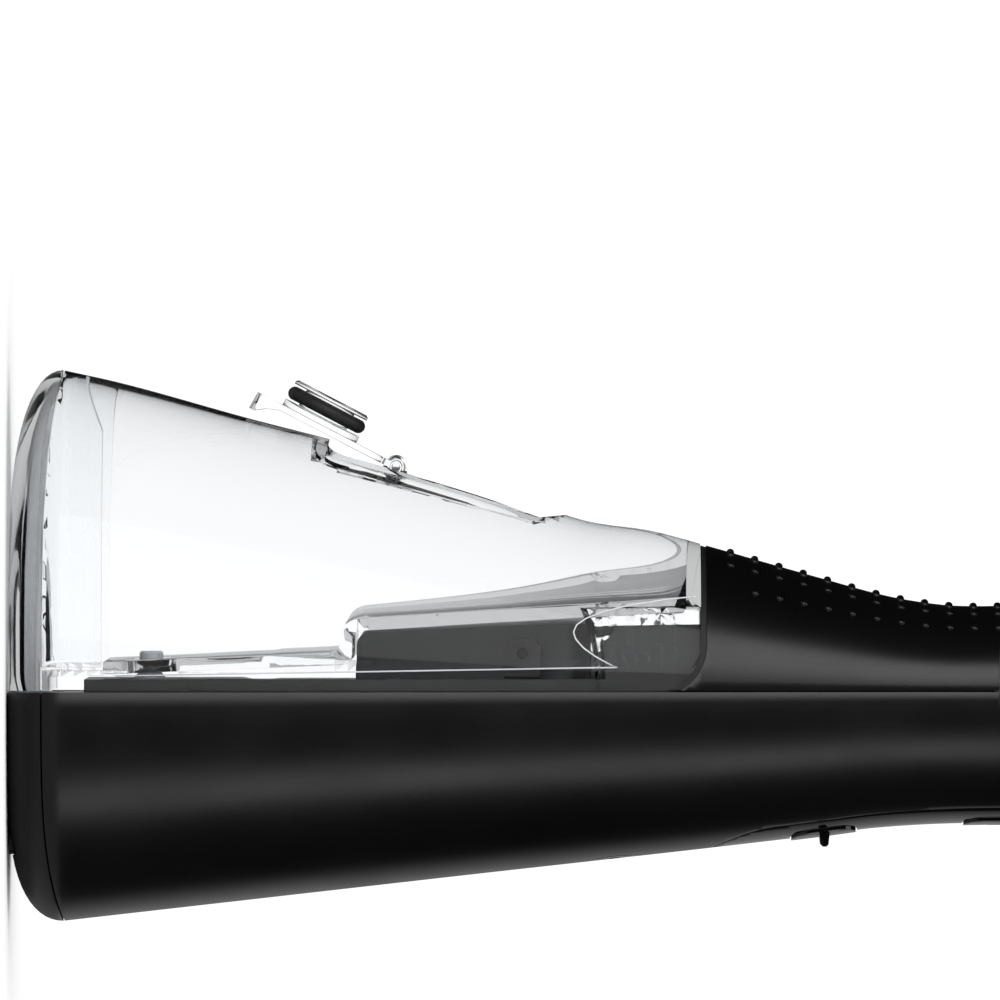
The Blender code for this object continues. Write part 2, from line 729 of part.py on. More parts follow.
def make_tank():
    end = TANK_END - GAP - GASKET
    shell = form("tank_shell", 1, high=end, past=-GAP / 2)
    cut(shell, below_seam("tank_seam", 1, GAP))
    water = form("tank_hollow", 1, TANK_WALL, high=end - END_WALL, past=-RIM_FLANGE)
    flange_top = RIM_FLANGE + RIM_RISE
    rim = [(-5, -5), (RIM_FLANGE, -5), (flange_top, end - END_WALL + 1), (-5, end - END_WALL + 1)]
    cut(water, prism("tank_rim_flange", rim, "X", -60, 60))
    cut(water, pocket("door_seat_wall", POCKET_WALL))
    cut(shell, water)
    cut(shell, form("tank_rim", 1, TANK_WALL + RIM_EXTRA, high=end - END_WALL, past=5, hidden=True))
    corner = prism("tank_outline", tank_side_outline(0), "X", -60, 60)
    keep(shell, corner)
    cut(shell, bulge_space("bulge_room", BULGE_CLEAR + FLOOR_THICK + GAP, TANK_WALL))
    cut(shell, pocket("door_seat", 0))
    join(shell, *door_ears())
    low = Vector((0, *door_point(PLUG_REACH, -9)))
    high = Vector((0, *door_point(PLUG_REACH, 6)))
    cut(shell, rod("fill_hole", low, high, FILL_HOLE, segments=36))
    pin_half = KNUCKLE_HALF + GAP + EAR_THICK + 1
    axis = (DOOR_AXIS_Y, DOOR_AXIS_Z)
    cut(shell, rod("pin_hole", (-pin_half, *axis), (pin_half, *axis), PIN_RADIUS + GAP, segments=14))
    part(shell, "tank_shell", "clear")
    pin = rod("door_hinge_pin", (-pin_half + 1, *axis), (pin_half - 1, *axis), PIN_RADIUS, segments=14)
    part(pin, "door_hinge_pin", "steel")


def door_ears():
    """Two round-topped lugs beside the door's knuckle."""
    ears = []
    radius = KNUCKLE + 0.6
    for side in (-1, 1):
        inner = KNUCKLE_HALF + GAP
        root = -POCKET_FLOOR - 0.5
        outline = arc((0, 0), radius, 0, 180, 10) + [(-radius, root), (radius, root)]
        points = [door_point(*point) for point in outline]
        ends = sorted((side * inner, side * (inner + EAR_THICK)))
        ears.append(prism("door_ear", points, "X", *ends))
    return ears


def make_tank_cap():
    cap = form("tank_cap", 1, past=-GAP / 2, high=LIP_Z)
    keep(cap, below_seam("tank_cap_seam", 1, 0))
    lip = form("tank_lip", 1, TANK_WALL + GAP, high=LIP_Z, past=-RIM_FLANGE - RIM_RISE)
    join(cap, lip)
    inner = form("tank_cap_hollow", 1, TANK_WALL + GAP + LIP_WALL, high=LIP_Z + 2, past=5, hidden=True)
    cut(cap, inner)
    bow = [(20, LIP_Z + 3), (REAR_DEPTH - 12, LIP_Z)]
    bow += [(REAR_DEPTH - 5, LIP_Z - 3), (REAR_DEPTH + 5, SEAM_FRONT + 1.5), (REAR_DEPTH + 5, LIP_Z + 3)]
    cut(cap, prism("tank_lip_bow", bow, "X", -60, 60))
    part(cap, "tank_cap", "clear")


def make_tank_floor():
    end = TANK_END - GAP - GASKET - END_WALL - GAP
    low, high = floor_top(FLOOR_STEP), floor_top(FLOOR_STEP_END)
    step = FLOOR_STEP
    top = [(floor_top(LIP_Z + GAP), LIP_Z + GAP), (low, step - 1), (low + 0.4, step + 0.5)]
    top += [(low + 1.5, step + 0.9), (high - 3, step + 1.0), (high - 1.2, step + 1.8)]
    top += [(high - 0.3, step + 3.2), (high, FLOOR_STEP_END), (floor_top(end), end)]
    thick = FLOOR_THICK
    low -= thick
    high -= thick
    under = [(floor_top(LIP_Z + GAP) - thick, LIP_Z + GAP), (low, step + 1.5), (low + 0.6, step + 2.7)]
    under += [(low + 2, step + thick + 1), (high - 1.4, step + thick + 1), (high - 0.4, step + thick + 2)]
    under += [(high, step + thick + 3.4), (floor_top(end) - thick, end)]
    plate = prism("tank_floor", top + under[::-1], "X", -60, 60)
    keep(plate, form("tank_floor_reach", 1, TANK_WALL + GAP, 5, TANK_END, past=5))
    edge = [(-5, 0), (RIM_FLANGE + GAP, 0), (RIM_FLANGE + RIM_RISE + GAP, end + 1), (-5, end + 1)]
    trim = prism("floor_edge", edge, "X", -60, 60)
    cut(trim, form("floor_edge_inside", 1, TANK_WALL + RIM_EXTRA + GAP, 4, TANK_END, past=6, hidden=True))
    cut(plate, trim)
    cut(plate, rod("inlet_port", (0, 0, INLET_Z), (0, 12, INLET_Z), 4.6))
    part(plate, "tank_floor", "clear")


def make_gasket():
    end = TANK_END - GAP - GASKET
    middle = (TANK_CORNER, end - TANK_CORNER)
    outer = TANK_CORNER + GASKET + GAP / 2
    inner = TANK_CORNER + GAP / 2
    outline = [(60, end - TANK_CORNER + outer), *arc(middle, outer, 90, 180, 10)]
    outline += [*arc(middle, inner, 180, 90, 10), (60, end - TANK_CORNER + inner)]
    band = prism("tank_gasket", outline, "X", -50, 50)
    keep(band, form("gasket_reach", 1, 0.3, end - TANK_CORNER - 4, TANK_END + 4, past=-GAP))
    cut(band, bulge_space("gasket_bulge", GAP, WALL))
    part(band, "tank_gasket", "rubber")


def make_door():
    """The door stands open against the edge of its seat; its plug faces away from the tank."""
    axis = Vector((0, DOOR_AXIS_Y, DOOR_AXIS_Z))
    half = DOOR_PLATE / 2
    tip = DOOR_LENGTH
    lip = half + DOOR_LIP
    outline = [(KNUCKLE + 1.2, -half), (tip, -half), (tip + 0.2, lip), (tip - 1.2, lip)]
    outline += [(tip - 5.0, half), (KNUCKLE + 1.2, half)]
    plate = door_prism("fill_door", outline, DOOR_HALF)
    root = KNUCKLE + 3
    neck_outline = [(0, -half), (root, -half), (root, half), (0, half)]
    neck = door_prism("door_neck", neck_outline, KNUCKLE_HALF)
    ends = (KNUCKLE_HALF, DOOR_AXIS_Y, DOOR_AXIS_Z)
    knuckle = rod("door_knuckle", (-ends[0], *ends[1:]), ends, KNUCKLE, segments=20)
    ring_space = 2 * DOOR_RING_WIRE + 2 * GAP
    groove = DOOR_RING_RADIUS - 2 * DOOR_RING_WIRE - GAP
    top = -half + 0.5
    shelf = -half - PLUG_NECK
    foot = shelf - ring_space
    profile = [(0, top), (PLUG_RADIUS, top), (PLUG_RADIUS, shelf), (groove, shelf), (groove, foot)]
    profile += [(PLUG_RADIUS - 0.2, foot), (PLUG_RADIUS - 0.2, foot - PLUG_DISC), (0, foot - PLUG_DISC)]
    out = Vector((0, math.cos(DOOR_TILT), math.sin(DOOR_TILT)))
    middle = Vector((0, *door_point(PLUG_REACH, 0)))
    plug = turned("door_plug", profile, middle, out, 32)
    seal_place = Vector((0, *door_point(PLUG_REACH, (shelf + foot) / 2)))
    seal = ring("fill_door_o_ring", seal_place, DOOR_RING_RADIUS - DOOR_RING_WIRE, DOOR_RING_WIRE, out, 24, 8)
    pin_hole = rod("door_pin_hole", (-9, *ends[1:]), (9, *ends[1:]), PIN_RADIUS + GAP, segments=14)
    to_axis = Matrix.Translation(axis * MM)
    swing = to_axis @ Matrix.Rotation(-DOOR_OPEN, 4, "X") @ to_axis.inverted()
    bpy.context.view_layer.update()
    for obj in (plate, neck, knuckle, plug, seal, pin_hole):
        obj.matrix_world = swing @ obj.matrix_world
    bpy.context.view_layer.update()
    join(plate, neck, knuckle, plug)
    cut(plate, pin_hole)
    part(plate, "fill_door", "clear", axis)
    part(seal, "fill_door_o_ring", "rubber")


# ---- Deck ---------------------------------------------------------------------------------------
def bulge(name, grow):
    """The raised cover of the pump, which flares to the body's full width at its upper end."""
    start = FLOOR_STEP + FLOOR_THICK + 1 + BULGE_CLEAR - grow
    clear = FLOOR_THICK + BULGE_CLEAR - grow
    face = floor_top(FLOOR_STEP_END)
    low_face = face - clear
    side = [(-18, start), (low_face - 2.5, start), (low_face - 0.7, start + 0.7)]
    side += [(low_face, start + 2.5)]
    top = floor_top(TANK_END - END_WALL) - clear - 1.7
    side += [(mix(low_face, top, 0.75), 100), (top, DECK_END + 1), (-18, DECK_END + 1)]
    half = BULGE_HALF + grow
    wide = BASE_WIDTH
    plan = [(-half, start - 1), (half, start - 1), (half, FLARE_START)]
    plan += [(half + 3, FLARE_START + 4.5), (half + 9, FLARE_END - 2)]
    plan += [(wide, FLARE_END + 2), (wide, DECK_END + 2)]
    plan += [(-x, z) for x, z in plan[:1:-1]]
    raised = prism(name, side, "X", -60, 60)
    return keep(raised, prism(name + "_plan", plan, "Y", -20, 40))


def bulge_space(name, grow, inset):
    """Room for the bulge inside a shell whose skin stays whole."""
    reach = form(name + "_reach", 1, inset, FLOOR_STEP, DECK_END + 2, past=19, hidden=True)
    return keep(bulge(name, grow), reach)


def make_deck():
    plate = [(DECK_UNDER, 0), (-GAP, 0), (-GAP, DECK_START), (DECK_TOP, DECK_START), (DECK_TOP, DECK_END)]
    deck = prism("deck", plate + [(DECK_UNDER, DECK_END)], "X", -60, 60)
    join(deck, bulge("deck_bulge", 0))
    hollow = bulge("deck_hollow", -BULGE_WALL)
    keep(deck, form("deck_reach_low", -1, SKIN, high=DECK_END, past=30, hidden=True))
    keep(deck, form("deck_reach", 0, TANK_WALL + RIM_EXTRA + 2 * GAP, 0, high=DECK_END, hidden=True))
    lower = box("deck_under", (-60, -40, 0), (60, DECK_UNDER, DECK_END + 5))
    cut(deck, lower)
    cut(deck, hollow)
    trim = form("deck_hollow_reach", 0, SKIN + BULGE_WALL, 0, high=DECK_END + 9, hidden=True)
    keep(hollow, trim)
    cut(deck, rod("inlet_seat", (0, -5, INLET_Z), (0, 5, INLET_Z), 3.0 + GAP))
    for i, (x, z) in enumerate(SCREW_PLACES):
        cut(deck, rod(f"deck_screw_hole_{i + 1}", (x, -5, z), (x, 30, z), 1.2 + GAP, segments=12))
        cut(deck, rod(f"deck_screw_sink_{i + 1}", (x, 0.6, z), (x, 30, z), 2.4 + GAP, segments=16))
    part(deck, "deck", "black_satin")


def make_clips():
    for name, side in (("tank_clip_left", -1), ("tank_clip_right", 1)):
        x = sorted((side * 20.6, side * 23.4))
        clip = box(name, (x[0], DECK_TOP + GAP, 91.5), (x[1], 9.4, 98.2))
        part(clip, name, "black_gloss")


# ---- Drive --------------------------------------------------------------------------------------
def gear_outline(teeth, addendum, phase):
    """An involute spur gear in its own plane; a tooth points to the angle phase."""
    pitch = GEAR_MODULE * teeth / 2
    base = pitch * math.cos(PRESSURE_ANGLE)
    tip = pitch + addendum
    root = pitch - 1.2 * GEAR_MODULE
    lean = math.tan(PRESSURE_ANGLE) - PRESSURE_ANGLE

    def half_angle(radius):
        turn = math.acos(min(1.0, base / radius))
        half = math.pi / (2 * teeth) - BACKLASH / (2 * pitch)
        return half + lean - (math.tan(turn) - turn)

    radii = [root, max(base, root), tip]
    flank = [(radius, half_angle(max(radius, base))) for radius in radii]
    points = []
    for i in range(teeth):
        middle = phase + 2 * math.pi * i / teeth
        tooth = [(r, middle - a) for r, a in flank] + [(r, middle + a) for r, a in flank[::-1]]
        points += [(r * math.cos(a), r * math.sin(a)) for r, a in tooth]
    return points


CRANK_Z = MOTOR_Z + GEAR_MODULE * (GEAR_TEETH + PINION_TEETH) / 2
GEAR_TOP = GEAR_FACE + GEAR_THICK
ROD_PLANE = (GEAR_TOP + 0.5, GEAR_TOP + 0.5 + ROD_THICK)
PUMP_Y = sum(ROD_PLANE) / 2


def gear(name, teeth, addendum, phase, height, low, high, bore):
    outline = [(x, z + height) for x, z in gear_outline(teeth, addendum, phase)]
    wheel = prism(name, outline, "Y", low, high)
    return cut(wheel, rod(name + "_bore", (0, -9, height), (0, 9, height), bore, segments=20))


def make_drive():
    axis_low = (0, 0, MOTOR_Z)
    can = rod("motor", (0, MOTOR_FRONT, MOTOR_Z), (0, MOTOR_REAR, MOTOR_Z), MOTOR_RADIUS, segments=32)
    cut(can, rod("motor_bore", (0, -9, MOTOR_Z), (0, 9, MOTOR_Z), 1.0 + GAP, segments=16))
    part(can, "motor", "steel")
    shaft_end = (0, GEAR_TOP + 0.3, MOTOR_Z)
    shaft = rod("motor_shaft", (0, -8.5, MOTOR_Z), shaft_end, 1.0, segments=16)
    part(shaft, "motor_shaft", "steel", axis_low)
    pinion = gear(
        "pinion", PINION_TEETH, 0.9 * GEAR_MODULE, math.pi / 2, MOTOR_Z,
        GEAR_FACE - 0.4, GEAR_TOP + 0.3, 1.0 + GAP / 2,
    )
    part(pinion, "motor_pinion", "brass", axis_low)
    plate = rounded_box((-17.0, MOTOR_Z - 11), (17.0, CRANK_Z + 6), 3)
    mount = prism("motor_mount", plate, "Y", *MOUNT)
    for name, height, radius in (("motor", MOTOR_Z, 2.6), ("axle", CRANK_Z, AXLE_RADIUS + GAP)):
        bore = rod(f"mount_{name}_bore", (0, -9, height), (0, 9, height), radius, segments=20)
        cut(mount, bore)
    part(mount, "motor_mount", "grey")
    axle_end = (0, GEAR_TOP - 0.4, CRANK_Z)
    axle = rod("crank_axle", (0, MOUNT[0] - 0.6, CRANK_Z), axle_end, AXLE_RADIUS)
    head = rod("axle_head", (0, MOUNT[0] - 1.6, CRANK_Z), (0, MOUNT[0] - GAP, CRANK_Z), 2.6)
    join(axle, head)
    part(axle, "crank_axle", "steel")
    facing = math.pi / 2 + math.pi / GEAR_TEETH
    wheel = prism(
        "crank_gear",
        [(x, z + CRANK_Z) for x, z in gear_outline(GEAR_TEETH, 0.62 * GEAR_MODULE, facing)],
        "Y", GEAR_FACE, GEAR_TOP,
    )
    bore_end = (0, GEAR_TOP - 0.1, CRANK_Z)
    cut(wheel, rod("crank_bore", (0, -9, CRANK_Z), bore_end, AXLE_RADIUS + GAP))
    pin_z = CRANK_Z + CRANK_OFFSET
    pin_end = (0, ROD_PLANE[1] + 0.4, pin_z)
    join(wheel, rod("crank_pin", (0, GEAR_TOP - 0.4, pin_z), pin_end, CRANK_PIN))
    boss_end = (0, GEAR_TOP + 0.2, CRANK_Z)
    join(wheel, rod("crank_boss", (0, GEAR_TOP - 0.4, CRANK_Z), boss_end, 3.0))
    part(wheel, "crank_gear", "white", (0, 0, CRANK_Z))


def make_pump():
    stroke = CRANK_OFFSET
    opening = CRANK_OFFSET + CRANK_PIN + stroke + GAP
    piston_low = CYLINDER_START - 3
    rod_ring = prism(
        "connecting_rod", arc((0, CRANK_Z), opening + ROD_RING, 0, 345, 23), "Y", *ROD_PLANE
    )
    arm_low = (-1.6, ROD_PLANE[0] + 0.3, CRANK_Z + opening + 0.5)
    arm = box("rod_arm", arm_low, (1.6, ROD_PLANE[1] - 0.3, piston_low - GAP))
    join(rod_ring, arm)
    cut(rod_ring, rod("rod_eye", (0, -9, CRANK_Z), (0, 20, CRANK_Z), opening, segments=24))
    part(rod_ring, "connecting_rod", "white", (0, PUMP_Y, CRANK_Z))
    top = PISTON_LENGTH
    body = BORE - 0.4
    groove = 1.6
    profile = [(0, top), (body, top), (body, top - 1.4), (groove, top - 1.4), (groove, top - 3.1)]
    profile += [(body, top - 3.1), (body, 0), (0, 0)]
    place = (0, PUMP_Y, piston_low)
    part(turned("piston", profile, place, steps=24), "piston", "white")
    seal_place = (0, PUMP_Y, piston_low + top - 2.25)
    part(ring("piston_seal", seal_place, 2.5, 0.55), "piston_seal", "rubber")
    outer = BORE + CYLINDER_WALL
    high = CYLINDER_LENGTH
    wall = [(BORE, high), (outer, high), (outer, 0), (BORE, 0)]
    place = (0, PUMP_Y, CYLINDER_START)
    part(turned("pump_cylinder", wall, place, steps=28, closed=True), "pump_cylinder", "grey")
    head_low = CYLINDER_START + CYLINDER_LENGTH + GAP
    head_high = head_low + HEAD_LENGTH
    head = box("pump_head", (-6.5, PUMP_Y - 5.5, head_low), (6.5, PUMP_Y + 4.0, head_high))
    cut(head, rod("outlet_bore", (0, PUMP_Y, head_low + 3), (0, PUMP_Y, head_high + 1), 2.4, segments=20))
    cut(head, rod("pump_port", (0, PUMP_Y, head_low - 1), (0, PUMP_Y, head_low + 4), 1.0, segments=12))
    middle = head_low + 4.5
    cut(head, rod("inlet_bore", (3.2, PUMP_Y - 2.8, middle), (9, PUMP_Y - 2.8, middle), 2.0, segments=20))
    part(head, "pump_head", "grey")
    duckbill = [(0, 3.2), (0.5, 3.2), (1.9, 1.0), (2.0, 0), (0, 0)]
    outlet_place = (0, PUMP_Y, head_low + 3 + GAP)
    part(turned("outlet_valve", duckbill, outlet_place, steps=16), "outlet_valve", "rubber")
    small = [(0, 2.4), (0.4, 2.4), (1.5, 0.8), (1.6, 0), (0, 0)]
    inlet_place = (3.2 + GAP, PUMP_Y - 2.8, middle)
    part(turned("inlet_valve", small, inlet_place, (1, 0, 0), steps=16), "inlet_valve", "rubber")
    return head_high, (6.5, PUMP_Y - 2.8, middle)


def make_water_path(head_high, inlet):
    """The inlet from the tank, the tube up to the pump, and the tube from the pump to the tip."""
    nipple = [(1.4, 5.2), (2.2, 5.2), (2.2, 1.2), (3.0, 0.6), (3.0, -3.6), (1.4, -3.6)]
    place = (0, DECK_TOP - 0.4, INLET_Z)
    spout = turned("inlet_nipple", nipple, place, (0, 1, 0), 24, closed=True)
    part(spout, "inlet_nipple", "grey")
    seat = (0, DECK_TOP + 2.2, INLET_Z)
    part(ring("inlet_o_ring", seat, 3.4, 0.8, (0, 1, 0)), "inlet_o_ring", "rubber")
    under = DECK_TOP - 0.4 - 3.6 - GAP
    side = 19.4
    low = under - 3.2
    points = [(0, under, INLET_Z), (0, under - 1.2, INLET_Z), (1.2, under - 2.6, INLET_Z + 1.6)]
    points += [(4, low, INLET_Z + 5), (side - 4, low, INLET_Z + 22), (side - 0.8, low, INLET_Z + 30)]
    points += [(side, low, INLET_Z + 40), (side, low, CRANK_Z + 4), (side - 1.4, low, CRANK_Z + 8)]
    points += [(side - 4.6, low, CRANK_Z + 13), (side - 6, low, CRANK_Z + 18), (side - 6, low + 0.6, 118)]
    points += [(side - 6, inlet[1] - 1.2, inlet[2] - 4.4), (side - 6.8, inlet[1] - 0.2, inlet[2] - 1.4)]
    points += [(side - 8.6, inlet[1], inlet[2]), (inlet[0] + GAP, inlet[1], inlet[2])]
    part(tube("intake_tube", points, 1.8), "intake_tube", "clear")
    socket_low = HANDLE_TOP - 15.5
    rise = socket_low - GAP - head_high - GAP
    places = []
    for i in range(9):
        share = i / 8
        ease = share * share * (3 - 2 * share)
        places.append((0, mix(PUMP_Y, HEAD_Y, ease), head_high + GAP + rise * share))
    part(tube("outlet_tube", places, 2.0), "outlet_tube", "clear")


def make_power():
    for name, x in (("cell_left", -7.8), ("cell_right", 7.8)):
        cell = rod(name, (x, CELL_Y, CELL_Z), (x, CELL_Y, CELL_Z + CELL_LENGTH), CELL_RADIUS)
        cell_tip = (x, CELL_Y, CELL_Z + CELL_LENGTH + 0.8)
        join(cell, rod(name + "_tip", (x, CELL_Y, CELL_Z + CELL_LENGTH - 0.5), cell_tip, 2.6, segments=16))
        part(cell, name, "cell_wrap")
    low = (-16.6, CELL_Y - CELL_RADIUS - 1.8, CELL_Z - 2)
    cradle = box("cell_cradle", low, (16.6, CELL_Y - 1.5, CELL_Z + CELL_LENGTH + 2.5))
    room = box("cell_room", (-15.6, CELL_Y - 4, CELL_Z - GAP), (15.6, 0, CELL_Z + CELL_LENGTH + 1.4))
    cut(cradle, room)
    for x in (-7.8, 7.8):
        start = (x, CELL_Y, CELL_Z - GAP)
        end = (x, CELL_Y, CELL_Z + CELL_LENGTH + 1.4)
        cut(cradle, rod("cell_space", start, end, CELL_RADIUS + GAP, segments=24))
    part(cradle, "cell_cradle", "grey")
    outline = rounded_box((-12.5, 138), (12.5, PANEL_TOP - 6), 2)
    part(prism("circuit_board", outline, "Y", *BOARD), "circuit_board", "board")
    for name, span in (("pressure_switch", PRESSURE_Z), ("power_switch", POWER_Z)):
        z = sum(span) / 2
        face = BOARD[0] - GAP
        can = box(name, (-3, face - 1.2, z - 3), (3, face, z + 3))
        plunger = BUTTON_BACK + BUTTON_TRAVEL + GAP
        join(can, rod(name + "_plunger", (0, face - 0.6, z), (0, plunger, z), 1.5, segments=16))
        part(can, name, "steel")


# ---- Head ---------------------------------------------------------------------------------------
def make_head():
    low = HANDLE_TOP - 15.5
    socket = [(TIP_BORE, 21.5), (SOCKET_RADIUS, 21.5), (SOCKET_RADIUS, 0)]
    socket += [(1.2, 0), (1.2, 4.5), (TIP_BORE, 4.5)]
    part(turned("tip_socket", socket, (0, HEAD_Y, low), steps=32, closed=True), "tip_socket", "grey")
    seal_place = (0, HEAD_Y, HANDLE_TOP - 5.6)
    part(ring("knob_o_ring", seal_place, SOCKET_RADIUS + GAP + 0.8, 0.8), "knob_o_ring", "rubber")
    hole = TIP_RADIUS + 1.6
    bore = SOCKET_RADIUS + 0.4
    knob = [(hole, KNOB_HEIGHT), (KNOB_RADIUS - 4, KNOB_HEIGHT), (KNOB_RADIUS - 1.9, KNOB_HEIGHT - 0.8)]
    knob += [(KNOB_RADIUS - 1.2, KNOB_HEIGHT - 2.4), (KNOB_RADIUS, 1.0), (KNOB_RADIUS - 0.6, 0)]
    knob += [(SPIGOT_RADIUS, 0), (SPIGOT_RADIUS, -4.2), (bore, -4.2), (bore, 7.0), (hole, 7.0)]
    place = (0, HEAD_Y, HANDLE_TOP + 0.6)
    part(turned("tip_knob", knob, place, steps=36, closed=True), "tip_knob", "black_satin")


def make_tip():
    stem_low = HANDLE_TOP - 10.5
    collar = HANDLE_TOP + 0.6 + KNOB_HEIGHT + GAP
    rise = collar - stem_low
    stem = [(0, rise + 6.4), (2.6, rise + 6.4), (3.4, rise + 5.0), (3.4, rise + 1.6), (5.4, rise + 1.6)]
    stem += [(5.4, rise), (TIP_RADIUS, rise), (TIP_RADIUS, 0), (0, 0)]
    tip = turned("tip", stem, (0, HEAD_Y, stem_low), steps=28)
    rise_after = (BEND_RADIUS + JET_RADIUS) * math.sin(BEND) + JET_LENGTH * math.cos(BEND)
    bend_z = LENGTH - rise_after
    start = collar + 5.4
    points = [(0, HEAD_Y, mix(start, bend_z, i / 4)) for i in range(5)]
    for i in range(1, 9):
        angle = BEND * i / 8
        drop = BEND_RADIUS * (1 - math.cos(angle))
        points.append((0, HEAD_Y - drop, bend_z + BEND_RADIUS * math.sin(angle)))
    along = Vector((0, -math.sin(BEND), math.cos(BEND)))
    end = Vector(points[-1]) + along * JET_LENGTH
    points.append(tuple(end))
    radii = [mix(2.5, 1.6, i / 4) for i in range(5)]
    radii += [mix(1.6, JET_RADIUS + 0.1, i / 8) for i in range(1, 9)] + [JET_RADIUS]
    join(tip, tube("tip_shaft", points, 1.0, radii, sides=2))
    bore = [tuple(end + along), *points[-2::-1], (0, HEAD_Y, stem_low - 2)]
    cut(tip, tube("tip_bore", bore, 0.6, sides=1))
    part(tip, "tip", "clear", (0, HEAD_Y, stem_low))
    band = [(3.4 + GAP, 2.4), (4.6, 2.4), (4.6, 0), (3.4 + GAP, 0)]
    band_place = (0, HEAD_Y, collar + 1.6 + GAP)
    part(turned("tip_band", band, band_place, steps=28, closed=True), "tip_band", "blue")


def make_eject():
    """The side key that frees the tip: it carries a fork that reaches round the tip socket."""
    key = prism("eject_button", eject_outline(), "X", -40, -13.5)
    keep(key, form("eject_face", 0, -BUTTON_PROUD, EJECT_Z[0] - 20, EJECT_Z[1] + 3))
    fork_z = HANDLE_TOP - 9.0
    flange = prism("eject_flange", eject_outline(1.2), "X", -40, -12.5)
    inside = SKIN + GAP
    keep(flange, form("flange_face", 0, inside, EJECT_Z[0] - 20, EJECT_Z[1] + 3, hidden=True))
    join(key, flange)
    cut(key, form("flange_back", 0, inside + 1.8, EJECT_Z[0] - 30, EJECT_Z[1] + 9, hidden=True))
    join(key, box("eject_post", (-18.0, -0.5, EJECT_Z[1] - 3), (-15.4, 5.5, fork_z - GAP)))
    part(key, "eject_button", "grey", (-17.6, sum(EJECT_Y) / 2, sum(EJECT_Z) / 2))
    reach = SOCKET_RADIUS + 0.5
    outline = [(-17.6, HEAD_Y - 5), (-7, HEAD_Y - 9), (6, HEAD_Y - 9), (6, HEAD_Y - reach)]
    outline += arc((0, HEAD_Y), reach, 270, 180, 6)[:1] + [(-EJECT_TRAVEL, HEAD_Y - reach)]
    outline += arc((-EJECT_TRAVEL - 0.4, HEAD_Y), reach, 270, 90, 10)
    outline += [(6, HEAD_Y + reach), (6, HEAD_Y + 9), (-7, HEAD_Y + 9), (-17.6, HEAD_Y + 8)]
    fork = prism("eject_fork", outline, "Z", fork_z, fork_z + 1.4)
    part(fork, "eject_fork", "white")
    coil = []
    start = 6 + EJECT_TRAVEL + GAP
    turns = 5
    for i in range(turns * 8 + 1):
        angle = 2 * math.pi * i / 8
        place = start + 9.5 * i / (turns * 8)
        coil.append((place, HEAD_Y + 7 + 1.4 * math.cos(angle), fork_z + 0.7 + 1.4 * math.sin(angle)))
    part(tube("eject_spring", coil, 0.3, sides=0), "eject_spring", "steel")


def make_screws():
    for i, (x, z) in enumerate(SCREW_PLACES):
        name = f"deck_screw_{i + 1}"
        screw = rod(name, (x, -8.5, z), (x, 1.5, z), 0.95, segments=12)
        join(screw, rod(name + "_head", (x, 0.9, z), (x, DECK_TOP - 0.1, z), 2.3, segments=16))
        part(screw, name, "steel")


def hang_from_middle():
    """Hangs every piece from one empty over the middle of the outline."""
    root = bpy.data.objects.new("water_flosser_middle", None)
    bpy.data.collections["water_flosser"].objects.link(root)
    for obj in list(bpy.data.objects):
        if obj is not root and obj.parent is None:
            obj.parent = root
    root.location = (0, PARTING_Y * MM, 0)


def main():
    clear_scene()
    make_front_housing()
    make_base_cap()
    make_rear_housing()
    make_panel()
    make_buttons()
    make_charge_port()
    make_tank()
    make_tank_cap()
    make_tank_floor()
    make_gasket()
    make_door()
    make_deck()
    make_clips()
    make_drive()
    head_high, inlet = make_pump()
    make_water_path(head_high, inlet)
    make_power()
    make_head()
    make_tip()
    make_eject()
    make_screws()
    hang_from_middle()


if __name__ == "__main__":
    main()
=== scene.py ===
"""Looks of a cordless water flosser: black battery handle, clear rear tank, slender jet tip.

Shapes are worked out in millimetres from the parting plane of the housing, and helpers place them in
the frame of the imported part.
"""

import math

import bmesh
import bpy
from mathutils import Matrix, Vector

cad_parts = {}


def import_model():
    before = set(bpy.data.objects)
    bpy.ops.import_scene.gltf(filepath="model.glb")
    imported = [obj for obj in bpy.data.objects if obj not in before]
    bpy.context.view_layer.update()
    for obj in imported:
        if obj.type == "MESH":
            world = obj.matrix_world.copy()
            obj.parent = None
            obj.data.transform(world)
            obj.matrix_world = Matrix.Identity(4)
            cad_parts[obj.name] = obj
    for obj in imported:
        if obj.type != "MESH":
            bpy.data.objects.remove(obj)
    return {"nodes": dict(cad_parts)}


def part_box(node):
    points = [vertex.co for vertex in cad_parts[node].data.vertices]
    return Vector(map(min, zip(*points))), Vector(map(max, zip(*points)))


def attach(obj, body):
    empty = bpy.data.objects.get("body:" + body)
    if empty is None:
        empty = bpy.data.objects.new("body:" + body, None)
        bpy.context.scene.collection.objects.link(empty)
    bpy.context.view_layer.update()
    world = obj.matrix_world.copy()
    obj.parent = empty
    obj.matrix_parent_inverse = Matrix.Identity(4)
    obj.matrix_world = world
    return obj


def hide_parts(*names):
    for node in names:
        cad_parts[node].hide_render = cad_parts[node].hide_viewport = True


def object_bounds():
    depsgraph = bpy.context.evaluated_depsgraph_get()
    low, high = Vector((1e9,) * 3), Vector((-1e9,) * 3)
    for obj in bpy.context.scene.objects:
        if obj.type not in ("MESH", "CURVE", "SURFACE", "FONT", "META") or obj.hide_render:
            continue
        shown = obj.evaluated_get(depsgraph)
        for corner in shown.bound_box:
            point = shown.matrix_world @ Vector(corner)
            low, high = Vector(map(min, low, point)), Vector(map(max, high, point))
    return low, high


bl_info = {
    "name": "Water flosser",
    "version": (1, 0, 0),
    "blender": (4, 5, 0),
    "location": "3D View > Sidebar > Flosser",
    "description": "Builds the finished shells, tank, controls and tip of a cordless water flosser",
    "category": "Add Mesh",
}

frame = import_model()
CAD_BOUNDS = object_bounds()
MM = 0.001

